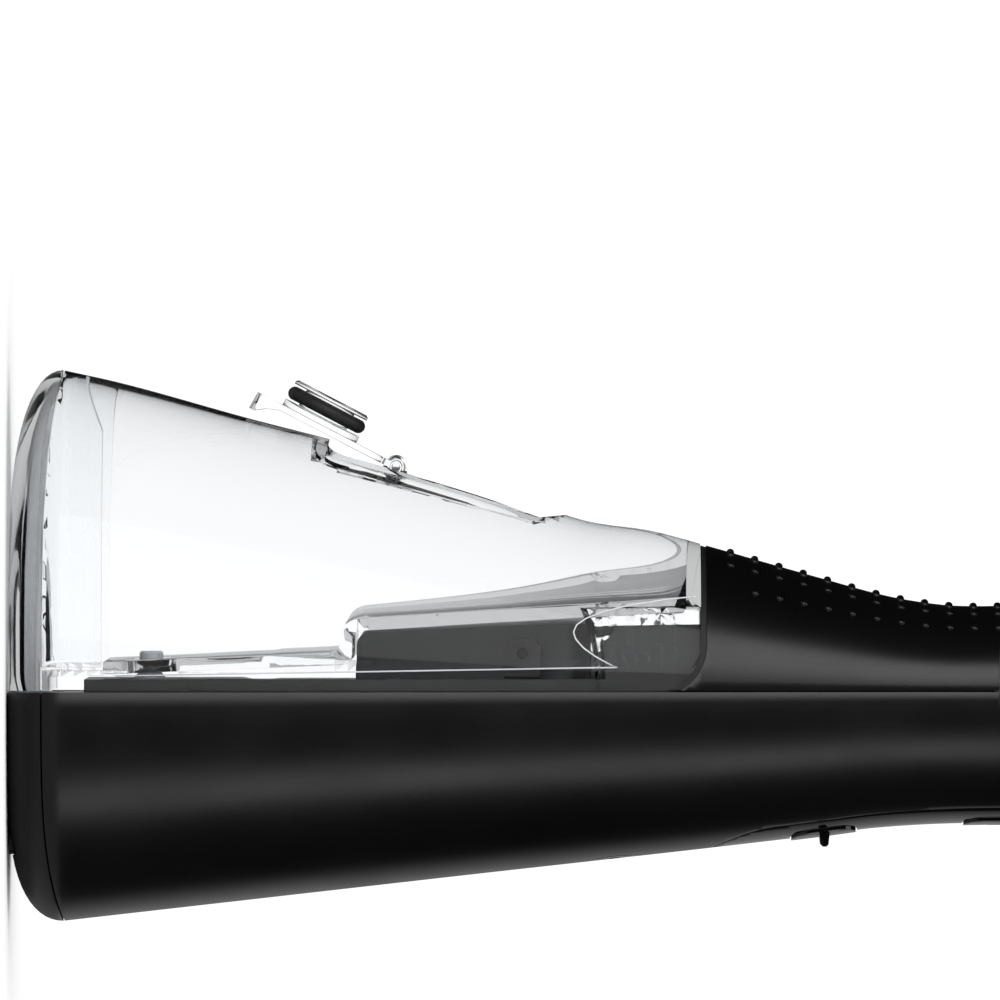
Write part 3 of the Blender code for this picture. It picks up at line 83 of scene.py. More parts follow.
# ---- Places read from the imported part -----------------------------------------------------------
GAP = 0.3
FRONT_LOW, FRONT_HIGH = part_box("front_housing")
REAR_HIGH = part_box("rear_housing")[1]
TANK_LOW, TANK_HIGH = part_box("tank_shell")
PARTING_Y = FRONT_HIGH.y / MM + GAP / 2
BASE_WIDTH = (FRONT_HIGH.x - FRONT_LOW.x) / MM
FRONT_DEPTH = 42.7
REAR_DEPTH = 59.4
HANDLE_TOP = FRONT_HIGH.z / MM
GASKET = 0.8
TANK_END = TANK_HIGH.z / MM + GAP + GASKET
LENGTH = CAD_BOUNDS[1].z / MM
PIN_LOW, PIN_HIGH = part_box("door_hinge_pin")
DOOR_AXIS_Y = (PIN_LOW.y + PIN_HIGH.y) / 2 / MM - PARTING_Y
DOOR_AXIS_Z = (PIN_LOW.z + PIN_HIGH.z) / 2 / MM
KNOB_LOW, KNOB_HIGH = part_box("tip_knob")
HEAD_Y = (KNOB_LOW.y + KNOB_HIGH.y) / 2 / MM - PARTING_Y
LIP_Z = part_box("tank_cap")[1].z / MM

# ---- Body ---------------------------------------------------------------------------------------
WALL = 2.2
TANK_WALL = 1.9
BASE_RIM = 10.0
SHOULDER = 9.0
GRIP_Z = 176.0
GRIP_WIDTH = 44.8
GRIP_FRONT = 24.6
GRIP_REAR = 15.7
SECTION_POWER = 2.2
ROUNDNESS = 2.2
FLAT_WIDTH = 0.5
FLAT_FRONT = 0.54
FLAT_REAR = 0.45
SHOULDER_FLAT = 0.74
SEAM_SIDE = 6.2
SEAM_FRONT = 10.0
LIP_WALL = 1.4
FOOT_HALF = 12.0
FOOT_Y = (-30.2, -25.8)
FOOT_BED = 1.6

# ---- Tank and door ------------------------------------------------------------------------------
END_WALL = 2.8
TANK_CORNER = 8.5
RIM_FLANGE = 2.6
RIM_RISE = 1.9
RIM_EXTRA = 1.2
FLOOR_THICK = 2.2
FLOOR_START = 15.9
FLOOR_STEP = 60.4
FLOOR_STEP_END = 65.4
FLOOR_LOW = (5.3, 7.1)
FLOOR_HIGH = (13.4, 16.8)
DOOR_TILT = math.radians(15.5)
DOOR_OPEN = math.radians(168.0)
DOOR_LENGTH = 29.0
DOOR_HALF = 10.4
DOOR_PLATE = 1.2
DOOR_LIP = 2.2
POCKET_HALF = 11.6
POCKET_BACK = 13.2
POCKET_FLOOR = 2.1
POCKET_RAMP = (27.5, 35.0)
POCKET_WALL = 2.0
PLUG_REACH = 16.3
PLUG_RADIUS = 7.7
PLUG_NECK = 1.3
PLUG_DISC = 0.9
DOOR_RING_WIRE = 1.3
DOOR_RING_RADIUS = 7.9
FILL_HOLE = 8.3
KNUCKLE = 1.7
KNUCKLE_HALF = 6.4
EAR_THICK = 2.2
PIN_RADIUS = 0.8

# ---- Deck ---------------------------------------------------------------------------------------
DECK_START = 14.2
DECK_TOP = 2.2
DECK_UNDER = -1.8
DECK_END = 133.0
BULGE_HALF = 17.5
BULGE_WALL = 1.8
BULGE_CLEAR = 0.6
FLARE_START = 103.0
FLARE_END = 114.0
INLET_Z = 26.0
SCREWS = ((-20.5, 22.0), (20.5, 22.0), (-20.0, 110.0), (20.0, 110.0))
CLIP_Z = (91.5, 98.2)

# ---- Controls -----------------------------------------------------------------------------------
PANEL_START = 130.3
PANEL_HALF = 11.4
PANEL_TOP = HANDLE_TOP - 9.0
PANEL_THICK = 0.8
PANEL_BED = 1.1
BUTTON_PROUD = 0.4
PRESSURE_Z = (144.9, 156.8)
PRESSURE_HALF = 8.0
POWER_Z = (176.8, 191.0)
POWER_HALF = 7.0
RIB_Z = 151.0
RIB_HALF = 6.2
RIB_HEIGHT = 1.8
BUTTON_BACK = -19.0
LENS_Z = 166.5
PORT_Z = 112.0
PORT_RADIUS = 6.0
EJECT_Z = (183.4, 199.4)
EJECT_Y = (-3.9, 9.2)

# ---- Head ---------------------------------------------------------------------------------------
SPIGOT_RADIUS = 9.0
SOCKET_RADIUS = 5.5
KNOB_RADIUS = 16.6
KNOB_HEIGHT = 14.6
TIP_RADIUS = 3.0
BEND_RADIUS = 9.0
BEND = math.radians(75.0)
JET_LENGTH = 4.0
JET_RADIUS = 1.2

# ---- Fineness of the curved skins ---------------------------------------------------------------
HALF_SIDES = 56
LEVEL_SPACING = 2.4
DOME_STEPS = 14
ARC_STEPS = 16


# ---- Settings a user may change -----------------------------------------------------------------
def length(name, text, default):
    return bpy.props.FloatProperty(
        name=name, description=text, default=default, min=0.0, unit="LENGTH", precision=5
    )


def colour(name, text, default):
    return bpy.props.FloatVectorProperty(
        name=name, description=text, default=default, size=3, min=0.0, max=1.0, subtype="COLOR"
    )


class FlosserSizes(bpy.types.PropertyGroup):
    dot_diameter: length("Dot diameter", "Width of each raised grip dot", 0.0015)
    dot_height: length("Dot height", "How far a grip dot stands out", 0.0007)
    dot_pitch: length("Dot pitch", "Distance between dots along the handle", 0.0045)
    dot_spacing: length("Row spacing", "Distance between rows of dots", 0.0057)
    edge_round: length("Edge rounding", "Radius on the moulded edges", 0.0003)
    flute_depth: length("Flute depth", "Depth of the grooves round the knob", 0.0007)
    flutes: bpy.props.IntProperty(
        name="Flutes", description="Number of grooves round the knob", default=30, min=6
    )


class FlosserColours(bpy.types.PropertyGroup):
    body: colour("Body", "Satin plastic of the handle", (0.0016, 0.0016, 0.0018))
    panel: colour("Panel", "Gloss plastic of the panel and buttons", (0.0012, 0.0012, 0.0014))
    clear: colour("Clear", "Clear plastic of the tank", (0.985, 0.99, 0.995))
    clear_edge: colour("Clear edge", "Clear plastic seen along its wall", (0.82, 0.83, 0.84))
    rubber: colour("Rubber", "Gasket, O-rings and foot", (0.008, 0.008, 0.008))
    key: colour("Key", "Release key and inner mouldings", (0.42, 0.43, 0.45))
    band: colour("Band", "Coloured band on the tip", (0.03, 0.2, 0.7))
    floor: colour("Floor", "Studio floor", (0.86, 0.86, 0.86))


# ---- Curves and contours ------------------------------------------------------------------------
def mix(low, high, share):
    return low + (high - low) * share


def smooth(stations):
    """A smooth curve through (place, value) stations, straight beyond its ends."""
    chords = [(b[1] - a[1]) / (b[0] - a[0]) for a, b in zip(stations, stations[1:])]
    slopes = [chords[0]] + [(a + b) / 2 for a, b in zip(chords, chords[1:])] + [chords[-1]]

    def value(place):
        last = len(stations) - 2
        i = max(0, min(last, sum(place > s[0] for s in stations[1:-1])))
        (start, low), (end, high) = stations[i], stations[i + 1]
        span = end - start
        share = max(0.0, min(1.0, (place - start) / span))
        beyond = (place - start) / span - share
        blend = share * share * (3 - 2 * share)
        bow = share * (1 - share) * span * (slopes[i] * (1 - share) - slopes[i + 1] * share)
        end_slope = slopes[i + 1] if beyond > 0 else slopes[i]
        return low + (high - low) * blend + bow + beyond * span * end_slope

    return value


HALF_WIDTH = smooth(
    (
        (BASE_RIM, BASE_WIDTH / 2),
        (60.0, mix(GRIP_WIDTH, BASE_WIDTH, 0.77) / 2),
        (100.0, mix(GRIP_WIDTH, BASE_WIDTH, 0.49) / 2),
        (TANK_END, mix(GRIP_WIDTH, BASE_WIDTH, 0.25) / 2),
        (GRIP_Z, GRIP_WIDTH / 2),
        (HANDLE_TOP, GRIP_WIDTH / 2),
    )
)
FRONT = smooth(
    (
        (BASE_RIM, FRONT_DEPTH),
        (80.0, mix(FRONT_DEPTH, GRIP_FRONT + 2.2, 0.5)),
        (150.0, GRIP_FRONT + 2.2),
        (160.0, GRIP_FRONT + 0.9),
        (GRIP_Z, GRIP_FRONT),
        (HANDLE_TOP, GRIP_FRONT + 0.4),
    )
)
REAR = smooth(
    (
        (BASE_RIM, REAR_DEPTH),
        (20.5, mix(DOOR_AXIS_Y, REAR_DEPTH, 0.87)),
        (45.0, DOOR_AXIS_Y + 8.9),
        (62.0, DOOR_AXIS_Y + 4.5),
        (78.0, DOOR_AXIS_Y - 0.2),
        (90.0, DOOR_AXIS_Y - 4.0),
        (98.0, DOOR_AXIS_Y - 7.0),
        (107.0, 31.4),
        (119.0, 29.6),
        (TANK_END, 26.9),
        (141.0, 23.5),
        (152.0, 20.4),
        (162.0, 17.7),
        (169.0, 16.4),
        (GRIP_Z, GRIP_REAR),
        (HANDLE_TOP, GRIP_REAR + 1.8),
    )
)


def rounded_share(share, flat):
    """How wide a section is at this share of its rounded end's height, starting from the flat."""
    return flat + (1 - flat) * (1 - (1 - share) ** ROUNDNESS) ** (1 / ROUNDNESS)


def signed_power(value, power):
    return math.copysign(abs(value) ** power, value)


def levels(inset, low, high):
    """Heights of the sections, with the shares of the base's and the shoulder's rounding."""
    dome = [1 - math.cos(math.pi / 2 * i / DOME_STEPS) for i in range(DOME_STEPS)]
    found = []
    if low is None:
        found += [(mix(inset, BASE_RIM, s), s, 1.0) for s in dome]
        low = BASE_RIM
    top = HANDLE_TOP - SHOULDER if high is None else high
    count = max(1, round((top - low) / LEVEL_SPACING))
    found += [(mix(low, top, i / count), 1.0, 1.0) for i in range(count + 1)]
    if high is None:
        found += [(mix(HANDLE_TOP - inset, top, s), 1.0, s) for s in reversed(dome)]
    return found


def arc(middle, radius, start, end, steps=ARC_STEPS):
    """Points on an arc; the angles are in degrees."""
    angles = [math.radians(mix(start, end, i / steps)) for i in range(steps + 1)]
    return [(middle[0] + radius * math.cos(a), middle[1] + radius * math.sin(a)) for a in angles]


def rounded_box(low, high, radius, steps=8):
    """A rectangle with round corners."""
    (left, bottom), (right, top) = low, high
    corners = ((right, top, -1, -1), (left, top, 1, -1), (left, bottom, 1, 1), (right, bottom, -1, 1))
    points = []
    for i, (x, y, inward_x, inward_y) in enumerate(corners):
        middle = (x + inward_x * radius, y + inward_y * radius)
        points += arc(middle, radius, 90 * i, 90 * i + 90, steps)
    return points


# ---- Mesh tools ---------------------------------------------------------------------------------
def world(x, y, z):
    return Vector((x, y + PARTING_Y, z)) * MM


def made(name):
    """Names the primitive that was just added and leaves only it selected."""
    obj = bpy.context.object
    obj.name = name
    obj.data.name = name
    return obj


def only(obj):
    bpy.ops.object.select_all(action="DESELECT")
    obj.select_set(True)
    bpy.context.view_layer.objects.active = obj


def close_up(obj):
    """Merges the seams, fills open ends and turns the faces outwards."""
    only(obj)
    bpy.ops.object.mode_set(mode="EDIT")
    bpy.ops.mesh.select_all(action="SELECT")
    bpy.ops.mesh.remove_doubles(threshold=0.0000005)
    bpy.ops.mesh.fill_holes(sides=0)
    bpy.ops.mesh.select_all(action="SELECT")
    bpy.ops.mesh.normals_make_consistent(inside=False)
    bpy.ops.object.mode_set(mode="OBJECT")
    return obj


def bent_grid(name, rows, columns, place):
    """A grid bent round into a closed skin: place(row, column) gives each corner in millimetres."""
    bpy.ops.object.select_all(action="DESELECT")
    bpy.ops.mesh.primitive_grid_add(x_subdivisions=columns, y_subdivisions=rows - 1, size=2)
    obj = made(name)
    for vertex in obj.data.vertices:
        column = round((vertex.co.x + 1) / 2 * columns) % columns
        row = round((vertex.co.y + 1) / 2 * (rows - 1))
        vertex.co = world(*place(row, column))
    return close_up(obj)


def form(name, side, inset=0.0, low=None, high=None, past=0.0):
    """The body as a solid, its skin moved in by inset: side -1 is the front half, 1 the rear, 0 both."""
    rings = []
    turns = HALF_SIDES if side else 2 * HALF_SIDES
    for height, base, shoulder in levels(inset, low, high):
        top = rounded_share(shoulder, SHOULDER_FLAT)
        half = (HALF_WIDTH(height) * rounded_share(base, FLAT_WIDTH) - inset) * top
        front = (min(FRONT(height), FRONT_DEPTH) * rounded_share(base, FLAT_FRONT) - inset) * top
        rear = (min(REAR(height), REAR_DEPTH) * rounded_share(base, FLAT_REAR) - inset) * top
        points = []
        for i in range(turns + (1 if side else 0)):
            angle = math.pi * i / HALF_SIDES
            x = half * signed_power(math.cos(angle), 2 / SECTION_POWER)
            across = signed_power(math.sin(angle), 2 / SECTION_POWER)
            depth = rear if (side or across) > 0 else front
            y = depth * abs(across) * (side or math.copysign(1, across))
            if side and abs(y) < -past:
                y = -side * past
            points.append((x, y, height))
        if side and past > 0:
            points.append((points[-1][0], -side * past, height))
            points.append((points[0][0], -side * past, height))
        rings.append(points)
    return bent_grid(name, len(rings), len(rings[0]), lambda row, column: rings[row][column])


def prism(name, outline, across, low, high):
    """A flat outline made solid across X (outline in Y, Z), Y (outline in X, Z) or Z (in X, Y)."""
    bpy.ops.object.select_all(action="DESELECT")
    bpy.ops.mesh.primitive_circle_add(vertices=len(outline), fill_type="NGON")
    obj = made(name)
    for vertex, (a, b) in zip(obj.data.vertices, outline):
        point = {"X": (low, a, b), "Y": (a, low, b), "Z": (a, b, low)}[across]
        vertex.co = world(*point)
    step = [(high - low) * MM if axis == across else 0 for axis in "XYZ"]
    bpy.ops.object.mode_set(mode="EDIT")
    bpy.ops.mesh.select_all(action="SELECT")
    bpy.ops.mesh.extrude_region_move(TRANSFORM_OT_translate={"value": step})
    bpy.ops.object.mode_set(mode="OBJECT")
    return close_up(obj)


def turned(name, profile, place, axis=(0, 0, 1), steps=72, closed=False, flute=None):
    """Turns (radius, height) points about an axis through place; flute trims the radius by angle."""
    turn = Vector(axis).to_track_quat("Z", "Y").to_matrix()
    middle = Vector(place)
    rows = len(profile) + (1 if closed else 0)

    def corner(row, column):
        radius, height = profile[row % len(profile)]
        angle = 2 * math.pi * column / steps
        if flute:
            radius -= flute(radius, height, angle)
        out = turn @ Vector((radius * math.cos(angle), radius * math.sin(angle), height))
        return middle + out

    return bent_grid(name, rows, steps, corner)


def ring(name, place, major, wire, axis=(0, 0, 1), steps=72, sides=18):
    angles = [2 * math.pi * i / sides for i in range(sides)]
    profile = [(major + wire * math.cos(a), wire * math.sin(a)) for a in angles]
    return turned(name, profile, place, axis, steps, closed=True)


def rod(name, start, end, radius, sides=48):
    profile = [(0, 0), (radius, 0), (radius, (Vector(end) - Vector(start)).length)]
    profile.append((0, profile[-1][1]))
    return turned(name, profile, start, Vector(end) - Vector(start), sides)


def tube(name, path, radii, sides=28):
    """A round bar along a path in one plane of constant X, its radius given at each point."""
    points = [Vector(point) for point in path]

    def corner(row, column):
        before = points[max(row - 1, 0)]
        after = points[min(row + 1, len(points) - 1)]
        along = (after - before).normalized()
        side = Vector((1, 0, 0))
        angle = 2 * math.pi * column / sides
        out = side * math.cos(angle) + along.cross(side) * math.sin(angle)
        return points[row] + out * radii[row]

    return bent_grid(name, len(points), sides, corner)


def apply_modifier(obj, kind, **settings):
    only(obj)
    modifier = obj.modifiers.new(kind.lower(), kind)
    for key, value in settings.items():
        setattr(modifier, key, value)
    bpy.ops.object.modifier_apply(modifier=modifier.name)
    return obj


def boolean(target, tool, operation):
    apply_modifier(target, "BOOLEAN", operation=operation, solver="MANIFOLD", object=tool)
    bpy.data.objects.remove(tool)
    return target


def cut(target, *tools):
    for tool in tools:
        boolean(target, tool, "DIFFERENCE")
    return target


def join(target, *tools):
    for tool in tools:
        boolean(target, tool, "UNION")
    return target


def keep(target, *tools):
    for tool in tools:
        boolean(target, tool, "INTERSECT")
    return target


def soften(obj, width=None, angle=38.0, segments=2):
    """Rounds the moulded edges."""
    width = width or bpy.context.scene.flosser_sizes.edge_round
    only(obj)
    bpy.ops.object.mode_set(mode="EDIT")
    bpy.ops.mesh.select_all(action="SELECT")
    bpy.ops.mesh.remove_doubles(threshold=0.000004)
    bpy.ops.mesh.dissolve_degenerate(threshold=0.000002)
    bpy.ops.object.mode_set(mode="OBJECT")
    return apply_modifier(
        obj, "BEVEL", width=width, segments=segments, limit_method="ANGLE",
        angle_limit=math.radians(angle), use_clamp_overlap=True, miter_outer="MITER_ARC",
    )


def finish(obj, body, finish_name, *nodes, smooth_angle=32.0, slot="black_satin"):
    """Shades a piece, gives it its material and fixes it to its body."""
    only(obj)
    bpy.ops.object.shade_smooth_by_angle(angle=math.radians(smooth_angle))
    obj.data.materials.clear()
    obj.data.materials.append(bpy.data.materials[finish_name])
    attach(obj, body)
    if nodes:
        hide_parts(*nodes)
    return obj


# ---- Effects shared by the materials ------------------------------------------------------------
def group(name, inputs, outputs):
    """An empty shader node group with float inputs, and the given outputs."""
    tree = bpy.data.node_groups.new(name, "ShaderNodeTree")
    for label, default in inputs:
        socket = tree.interface.new_socket(name=label, in_out="INPUT", socket_type="NodeSocketFloat")
        socket.default_value = default
    for label in outputs:
        tree.interface.new_socket(name=label, in_out="OUTPUT", socket_type="NodeSocketFloat")
    return tree, tree.nodes.new("NodeGroupInput"), tree.nodes.new("NodeGroupOutput")


def noise(tree, coordinates, scale, detail, roughness=0.5):
    node = tree.nodes.new("ShaderNodeTexNoise")
    node.inputs["Detail"].default_value = detail
    node.inputs["Roughness"].default_value = roughness
    if isinstance(scale, (int, float)):
        node.inputs["Scale"].default_value = scale
    else:
        tree.links.new(scale, node.inputs["Scale"])
    tree.links.new(coordinates, node.inputs["Vector"])
    return node.outputs["Fac"]


def arithmetic(tree, operation, first, second):
    node = tree.nodes.new("ShaderNodeMath")
    node.operation = operation
    for socket, value in zip(node.inputs, (first, second)):
        if isinstance(value, (int, float)):
            socket.default_value = value
        else:
            tree.links.new(value, socket)
    return node.outputs[0]


def spread(tree, value, low, high):
    """Maps a noise value onto a range."""
    node = tree.nodes.new("ShaderNodeMapRange")
    node.inputs["From Min"].default_value = 0.3
    node.inputs["From Max"].default_value = 0.7
    tree.links.new(value, node.inputs["Value"])
    for label, end in (("To Min", low), ("To Max", high)):
        if isinstance(end, (int, float)):
            node.inputs[label].default_value = end
        else:
            tree.links.new(end, node.inputs[label])
    return node.outputs["Result"]


def make_moulded_surface():
    """Fine spark-eroded grain and slow unevenness of moulded plastic, rubber or metal."""
    inputs = (("Grain Scale", 2500.0), ("Low Roughness", 0.35), ("High Roughness", 0.42))
    outputs = ("Height", "Roughness", "Shade")
    tree, given, result = group("moulded_surface", inputs, outputs)
    place = tree.nodes.new("ShaderNodeTexCoord").outputs["Object"]
    fine = noise(tree, place, given.outputs["Grain Scale"], 3.0)
    patches = noise(tree, place, 60.0, 4.0, 0.6)
    slow = noise(tree, place, 14.0, 2.0)
    height = arithmetic(tree, "ADD", fine, arithmetic(tree, "MULTIPLY", slow, 0.35))
    uneven = spread(tree, patches, given.outputs["Low Roughness"], given.outputs["High Roughness"])
    tree.links.new(height, result.inputs["Height"])
    tree.links.new(uneven, result.inputs["Roughness"])
    tree.links.new(spread(tree, slow, 0.8, 1.2), result.inputs["Shade"])


def make_handling_marks():
    """Faint smears of handling on gloss plastic, as a mask."""
    tree, given, result = group("handling_marks", (("Scale", 40.0),), ("Mask",))
    place = tree.nodes.new("ShaderNodeTexCoord").outputs["Object"]
    turn = tree.nodes.new("ShaderNodeMapping")
    turn.inputs["Rotation"].default_value = (0.3, 0.2, 0.6)
    turn.inputs["Scale"].default_value = (1.0, 1.0, 0.25)
    tree.links.new(place, turn.inputs["Vector"])
    smear = noise(tree, turn.outputs["Vector"], given.outputs["Scale"], 5.0, 0.65)
    tree.links.new(spread(tree, smear, 0.0, 1.0), result.inputs["Mask"])


def add_group(tree, name, **values):
    node = tree.nodes.new("ShaderNodeGroup")
    node.node_tree = bpy.data.node_groups[name]
    for label, value in values.items():
        node.inputs[label.replace("_", " ")].default_value = value
    return node


def shaded(tree, colour_value, shade):
    """A colour made a little lighter and darker by a mask."""
    node = tree.nodes.new("ShaderNodeMix")
    node.data_type = "RGBA"
    node.blend_type = "MULTIPLY"
    node.inputs["Factor"].default_value = 1.0
    node.inputs["A"].default_value = (*colour_value, 1)
    tree.links.new(shade, node.inputs["B"])
    return node.outputs["Result"]


def new_material(name):
    material = bpy.data.materials.new(name)
    material.use_nodes = True
    tree = material.node_tree
    return material, tree, tree.nodes["Principled BSDF"]


def add_bump(tree, shader, height, strength, distance):
    bump = tree.nodes.new("ShaderNodeBump")
    bump.inputs["Strength"].default_value = strength
    bump.inputs["Distance"].default_value = distance
    tree.links.new(height, bump.inputs["Height"])
    tree.links.new(bump.outputs["Normal"], shader.inputs["Normal"])


def solid_material(name, colour_value, low, high, grain, bump, metallic=0.0, coat=0.0):
    """Moulded plastic, rubber or metal with its own grain, unevenness and roughness range."""
    material, tree, shader = new_material(name)
    surface = add_group(
        tree, "moulded_surface", Grain_Scale=grain, Low_Roughness=low, High_Roughness=high
    )
    shader.inputs["Metallic"].default_value = metallic
    shader.inputs["Coat Weight"].default_value = coat
    shader.inputs["Coat Roughness"].default_value = 0.06
    tint = shaded(tree, colour_value, surface.outputs["Shade"])
    tree.links.new(tint, shader.inputs["Base Color"])
    tree.links.new(surface.outputs["Roughness"], shader.inputs["Roughness"])
    add_bump(tree, shader, surface.outputs["Height"], bump, 0.00005)
    return material


def clear_material(name, through, edge, roughness, wave, index):
    """Clear plastic, greyer where the eye runs along its wall. Lamps shine through it."""
    material, tree, shader = new_material(name)
    shader.inputs["Transmission Weight"].default_value = 1.0
    shader.inputs["IOR"].default_value = index
    shader.inputs["Metallic"].default_value = 0.0
    facing = tree.nodes.new("ShaderNodeLayerWeight")
    facing.inputs["Blend"].default_value = 0.35
    tint = tree.nodes.new("ShaderNodeMix")
    tint.data_type = "RGBA"
    tint.inputs["A"].default_value = (*through, 1)
    tint.inputs["B"].default_value = (*edge, 1)
    tree.links.new(facing.outputs["Facing"], tint.inputs["Factor"])
    tree.links.new(tint.outputs["Result"], shader.inputs["Base Color"])
    marks = add_group(tree, "handling_marks", Scale=55.0)
    uneven = spread(tree, marks.outputs["Mask"], roughness, roughness * 2.2)
    tree.links.new(uneven, shader.inputs["Roughness"])
    surface = add_group(tree, "moulded_surface", Grain_Scale=90.0)
    add_bump(tree, shader, surface.outputs["Height"], wave, 0.0002)
    through_glass = tree.nodes.new("ShaderNodeBsdfTransparent")
    through_glass.inputs["Color"].default_value = (0.9, 0.91, 0.92, 1)
    path = tree.nodes.new("ShaderNodeLightPath")
    mixer = tree.nodes.new("ShaderNodeMixShader")
    output = tree.nodes["Material Output"]
    tree.links.new(path.outputs["Is Shadow Ray"], mixer.inputs["Fac"])
    tree.links.new(shader.outputs[0], mixer.inputs[1])
    tree.links.new(through_glass.outputs[0], mixer.inputs[2])
    tree.links.new(mixer.outputs[0], output.inputs["Surface"])
    return material


def gloss_material(name, colour_value):
    """Polished black plastic with faint smears."""
    material, tree, shader = new_material(name)
    marks = add_group(tree, "handling_marks", Scale=45.0)
    surface = add_group(tree, "moulded_surface", Grain_Scale=400.0)
    tree.links.new(shaded(tree, colour_value, surface.outputs["Shade"]), shader.inputs["Base Color"])
    tree.links.new(spread(tree, marks.outputs["Mask"], 0.07, 0.16), shader.inputs["Roughness"])
    add_bump(tree, shader, surface.outputs["Height"], 0.06, 0.00004)
    return material


def board_material(name):
    """Green solder mask with lighter copper runs under it."""
    material, tree, shader = new_material(name)
    place = tree.nodes.new("ShaderNodeTexCoord").outputs["Object"]
    runs = tree.nodes.new("ShaderNodeTexBrick")
    runs.inputs["Scale"].default_value = 120.0
    runs.inputs["Color1"].default_value = (0.01, 0.12, 0.05, 1)
    runs.inputs["Color2"].default_value = (0.012, 0.14, 0.06, 1)
    runs.inputs["Mortar"].default_value = (0.03, 0.24, 0.1, 1)
    turn = tree.nodes.new("ShaderNodeMapping")
    turn.inputs["Rotation"].default_value = (math.pi / 2, 0, 0)
    tree.links.new(place, turn.inputs["Vector"])
    tree.links.new(turn.outputs["Vector"], runs.inputs["Vector"])
    tree.links.new(runs.outputs["Color"], shader.inputs["Base Color"])
    surface = add_group(tree, "moulded_surface", Low_Roughness=0.3, High_Roughness=0.45)
    tree.links.new(surface.outputs["Roughness"], shader.inputs["Roughness"])
    return material


class FLOSSER_OT_materials(bpy.types.Operator):
    """Makes the plastics, rubber and metals"""

    bl_idname = "flosser.materials"
    bl_label = "Materials"

    def execute(self, context):
        make_moulded_surface()
        make_handling_marks()
        colours = context.scene.flosser_colours
        solid_material("satin_black", colours.body, 0.27, 0.33, 2600.0, 0.2)
        solid_material("deck_black", (0.005, 0.005, 0.0055), 0.28, 0.36, 1800.0, 0.2)
        # Painted highlight: this light grey is given to the thin tube in the tank, which stands in for the
        # flare edge's highlight seen through the clear wall.
        solid_material("frosted", (0.75, 0.76, 0.78), 0.3, 0.4, 1200.0, 0.1)
        solid_material("black_rubber", colours.rubber, 0.5, 0.68, 1500.0, 0.3)
        solid_material("key_grey", colours.key, 0.36, 0.45, 2200.0, 0.2)
        solid_material("white_nylon", (0.8, 0.8, 0.78), 0.38, 0.48, 1600.0, 0.2)
        solid_material("bright_steel", (0.6, 0.6, 0.62), 0.2, 0.32, 1200.0, 0.15, metallic=1.0)
        solid_material("turned_brass", (0.72, 0.52, 0.22), 0.22, 0.34, 1200.0, 0.15, metallic=1.0)
        solid_material("cell_film", (0.03, 0.14, 0.3), 0.22, 0.3, 500.0, 0.1, coat=0.5)
        solid_material("band_blue", colours.band, 0.2, 0.28, 900.0, 0.1, coat=0.3)
        solid_material("lamp_resin", (0.25, 0.6, 0.85), 0.15, 0.25, 900.0, 0.08)
        gloss_material("gloss_black", colours.panel)
        board_material("solder_mask")
        clear_material("tank_clear", colours.clear, colours.clear_edge, 0.012, 0.02, 1.24)
        clear_material("cap_clear", colours.clear, (0.8, 0.81, 0.82), 0.012, 0.02, 1.1)
        clear_material("door_clear", colours.clear, (0.45, 0.46, 0.47), 0.015, 0.02, 1.42)
        clear_material("clear_tube", (0.9, 0.92, 0.94), (0.6, 0.62, 0.65), 0.05, 0.04, 1.4)
        return {"FINISHED"}


# ---- Handle -------------------------------------------------------------------------------------
def seam_curve(offset, reach):
    points = []
    for i in range(33):
        share = i / 32
        height = SEAM_SIDE + (SEAM_FRONT - SEAM_SIDE) * share**4 + offset
        points.append((reach * share, height))
    return points


def below_seam(name, side, offset):
    """What lies under the base seam on one side of the parting plane."""
    reach = FRONT_DEPTH if side < 0 else REAR_DEPTH
    curve = [(side * y, z) for y, z in seam_curve(offset, reach)]
    outline = [(-side * 2.0, -1.0), (-side * 2.0, curve[0][1]), *curve]
    outline += [(side * (reach + 9), curve[-1][1]), (side * (reach + 9), -1.0)]
    return prism(name, outline, "X", -BASE_WIDTH, BASE_WIDTH)


def panel_outline(grow=0.0):
    half = PANEL_HALF + grow
    low = arc((0, PANEL_START + PANEL_HALF), half, 180, 360, 40)
    return low + arc((0, PANEL_TOP - PANEL_HALF), half, 0, 180, 40)


def button_outline(half, span, grow=0.0):
    return rounded_box((-half - grow, span[0] - grow), (half + grow, span[1] + grow), 4.0 + grow)


def eject_outline(grow=0.0):
    low = (EJECT_Y[0] - grow, EJECT_Z[0] - grow)
    return rounded_box(low, (EJECT_Y[1] + grow, EJECT_Z[1] + grow), 2.5 + grow)


def front_shell(name):
    shell = form(name, -1, past=-GAP / 2)
    return cut(shell, form(name + "_inside", -1, WALL, past=5))


def knob_opening():
    low = (0, HEAD_Y, HANDLE_TOP - 6)
    return rod("knob_opening", low, (0, HEAD_Y, HANDLE_TOP + 2), SPIGOT_RADIUS + GAP)


def front_opening(outline):
    return prism("front_opening", outline, "Y", -60, -5)


def front_hole(height, radius):
    return rod("front_hole", (0, -60, height), (0, -12, height), radius)


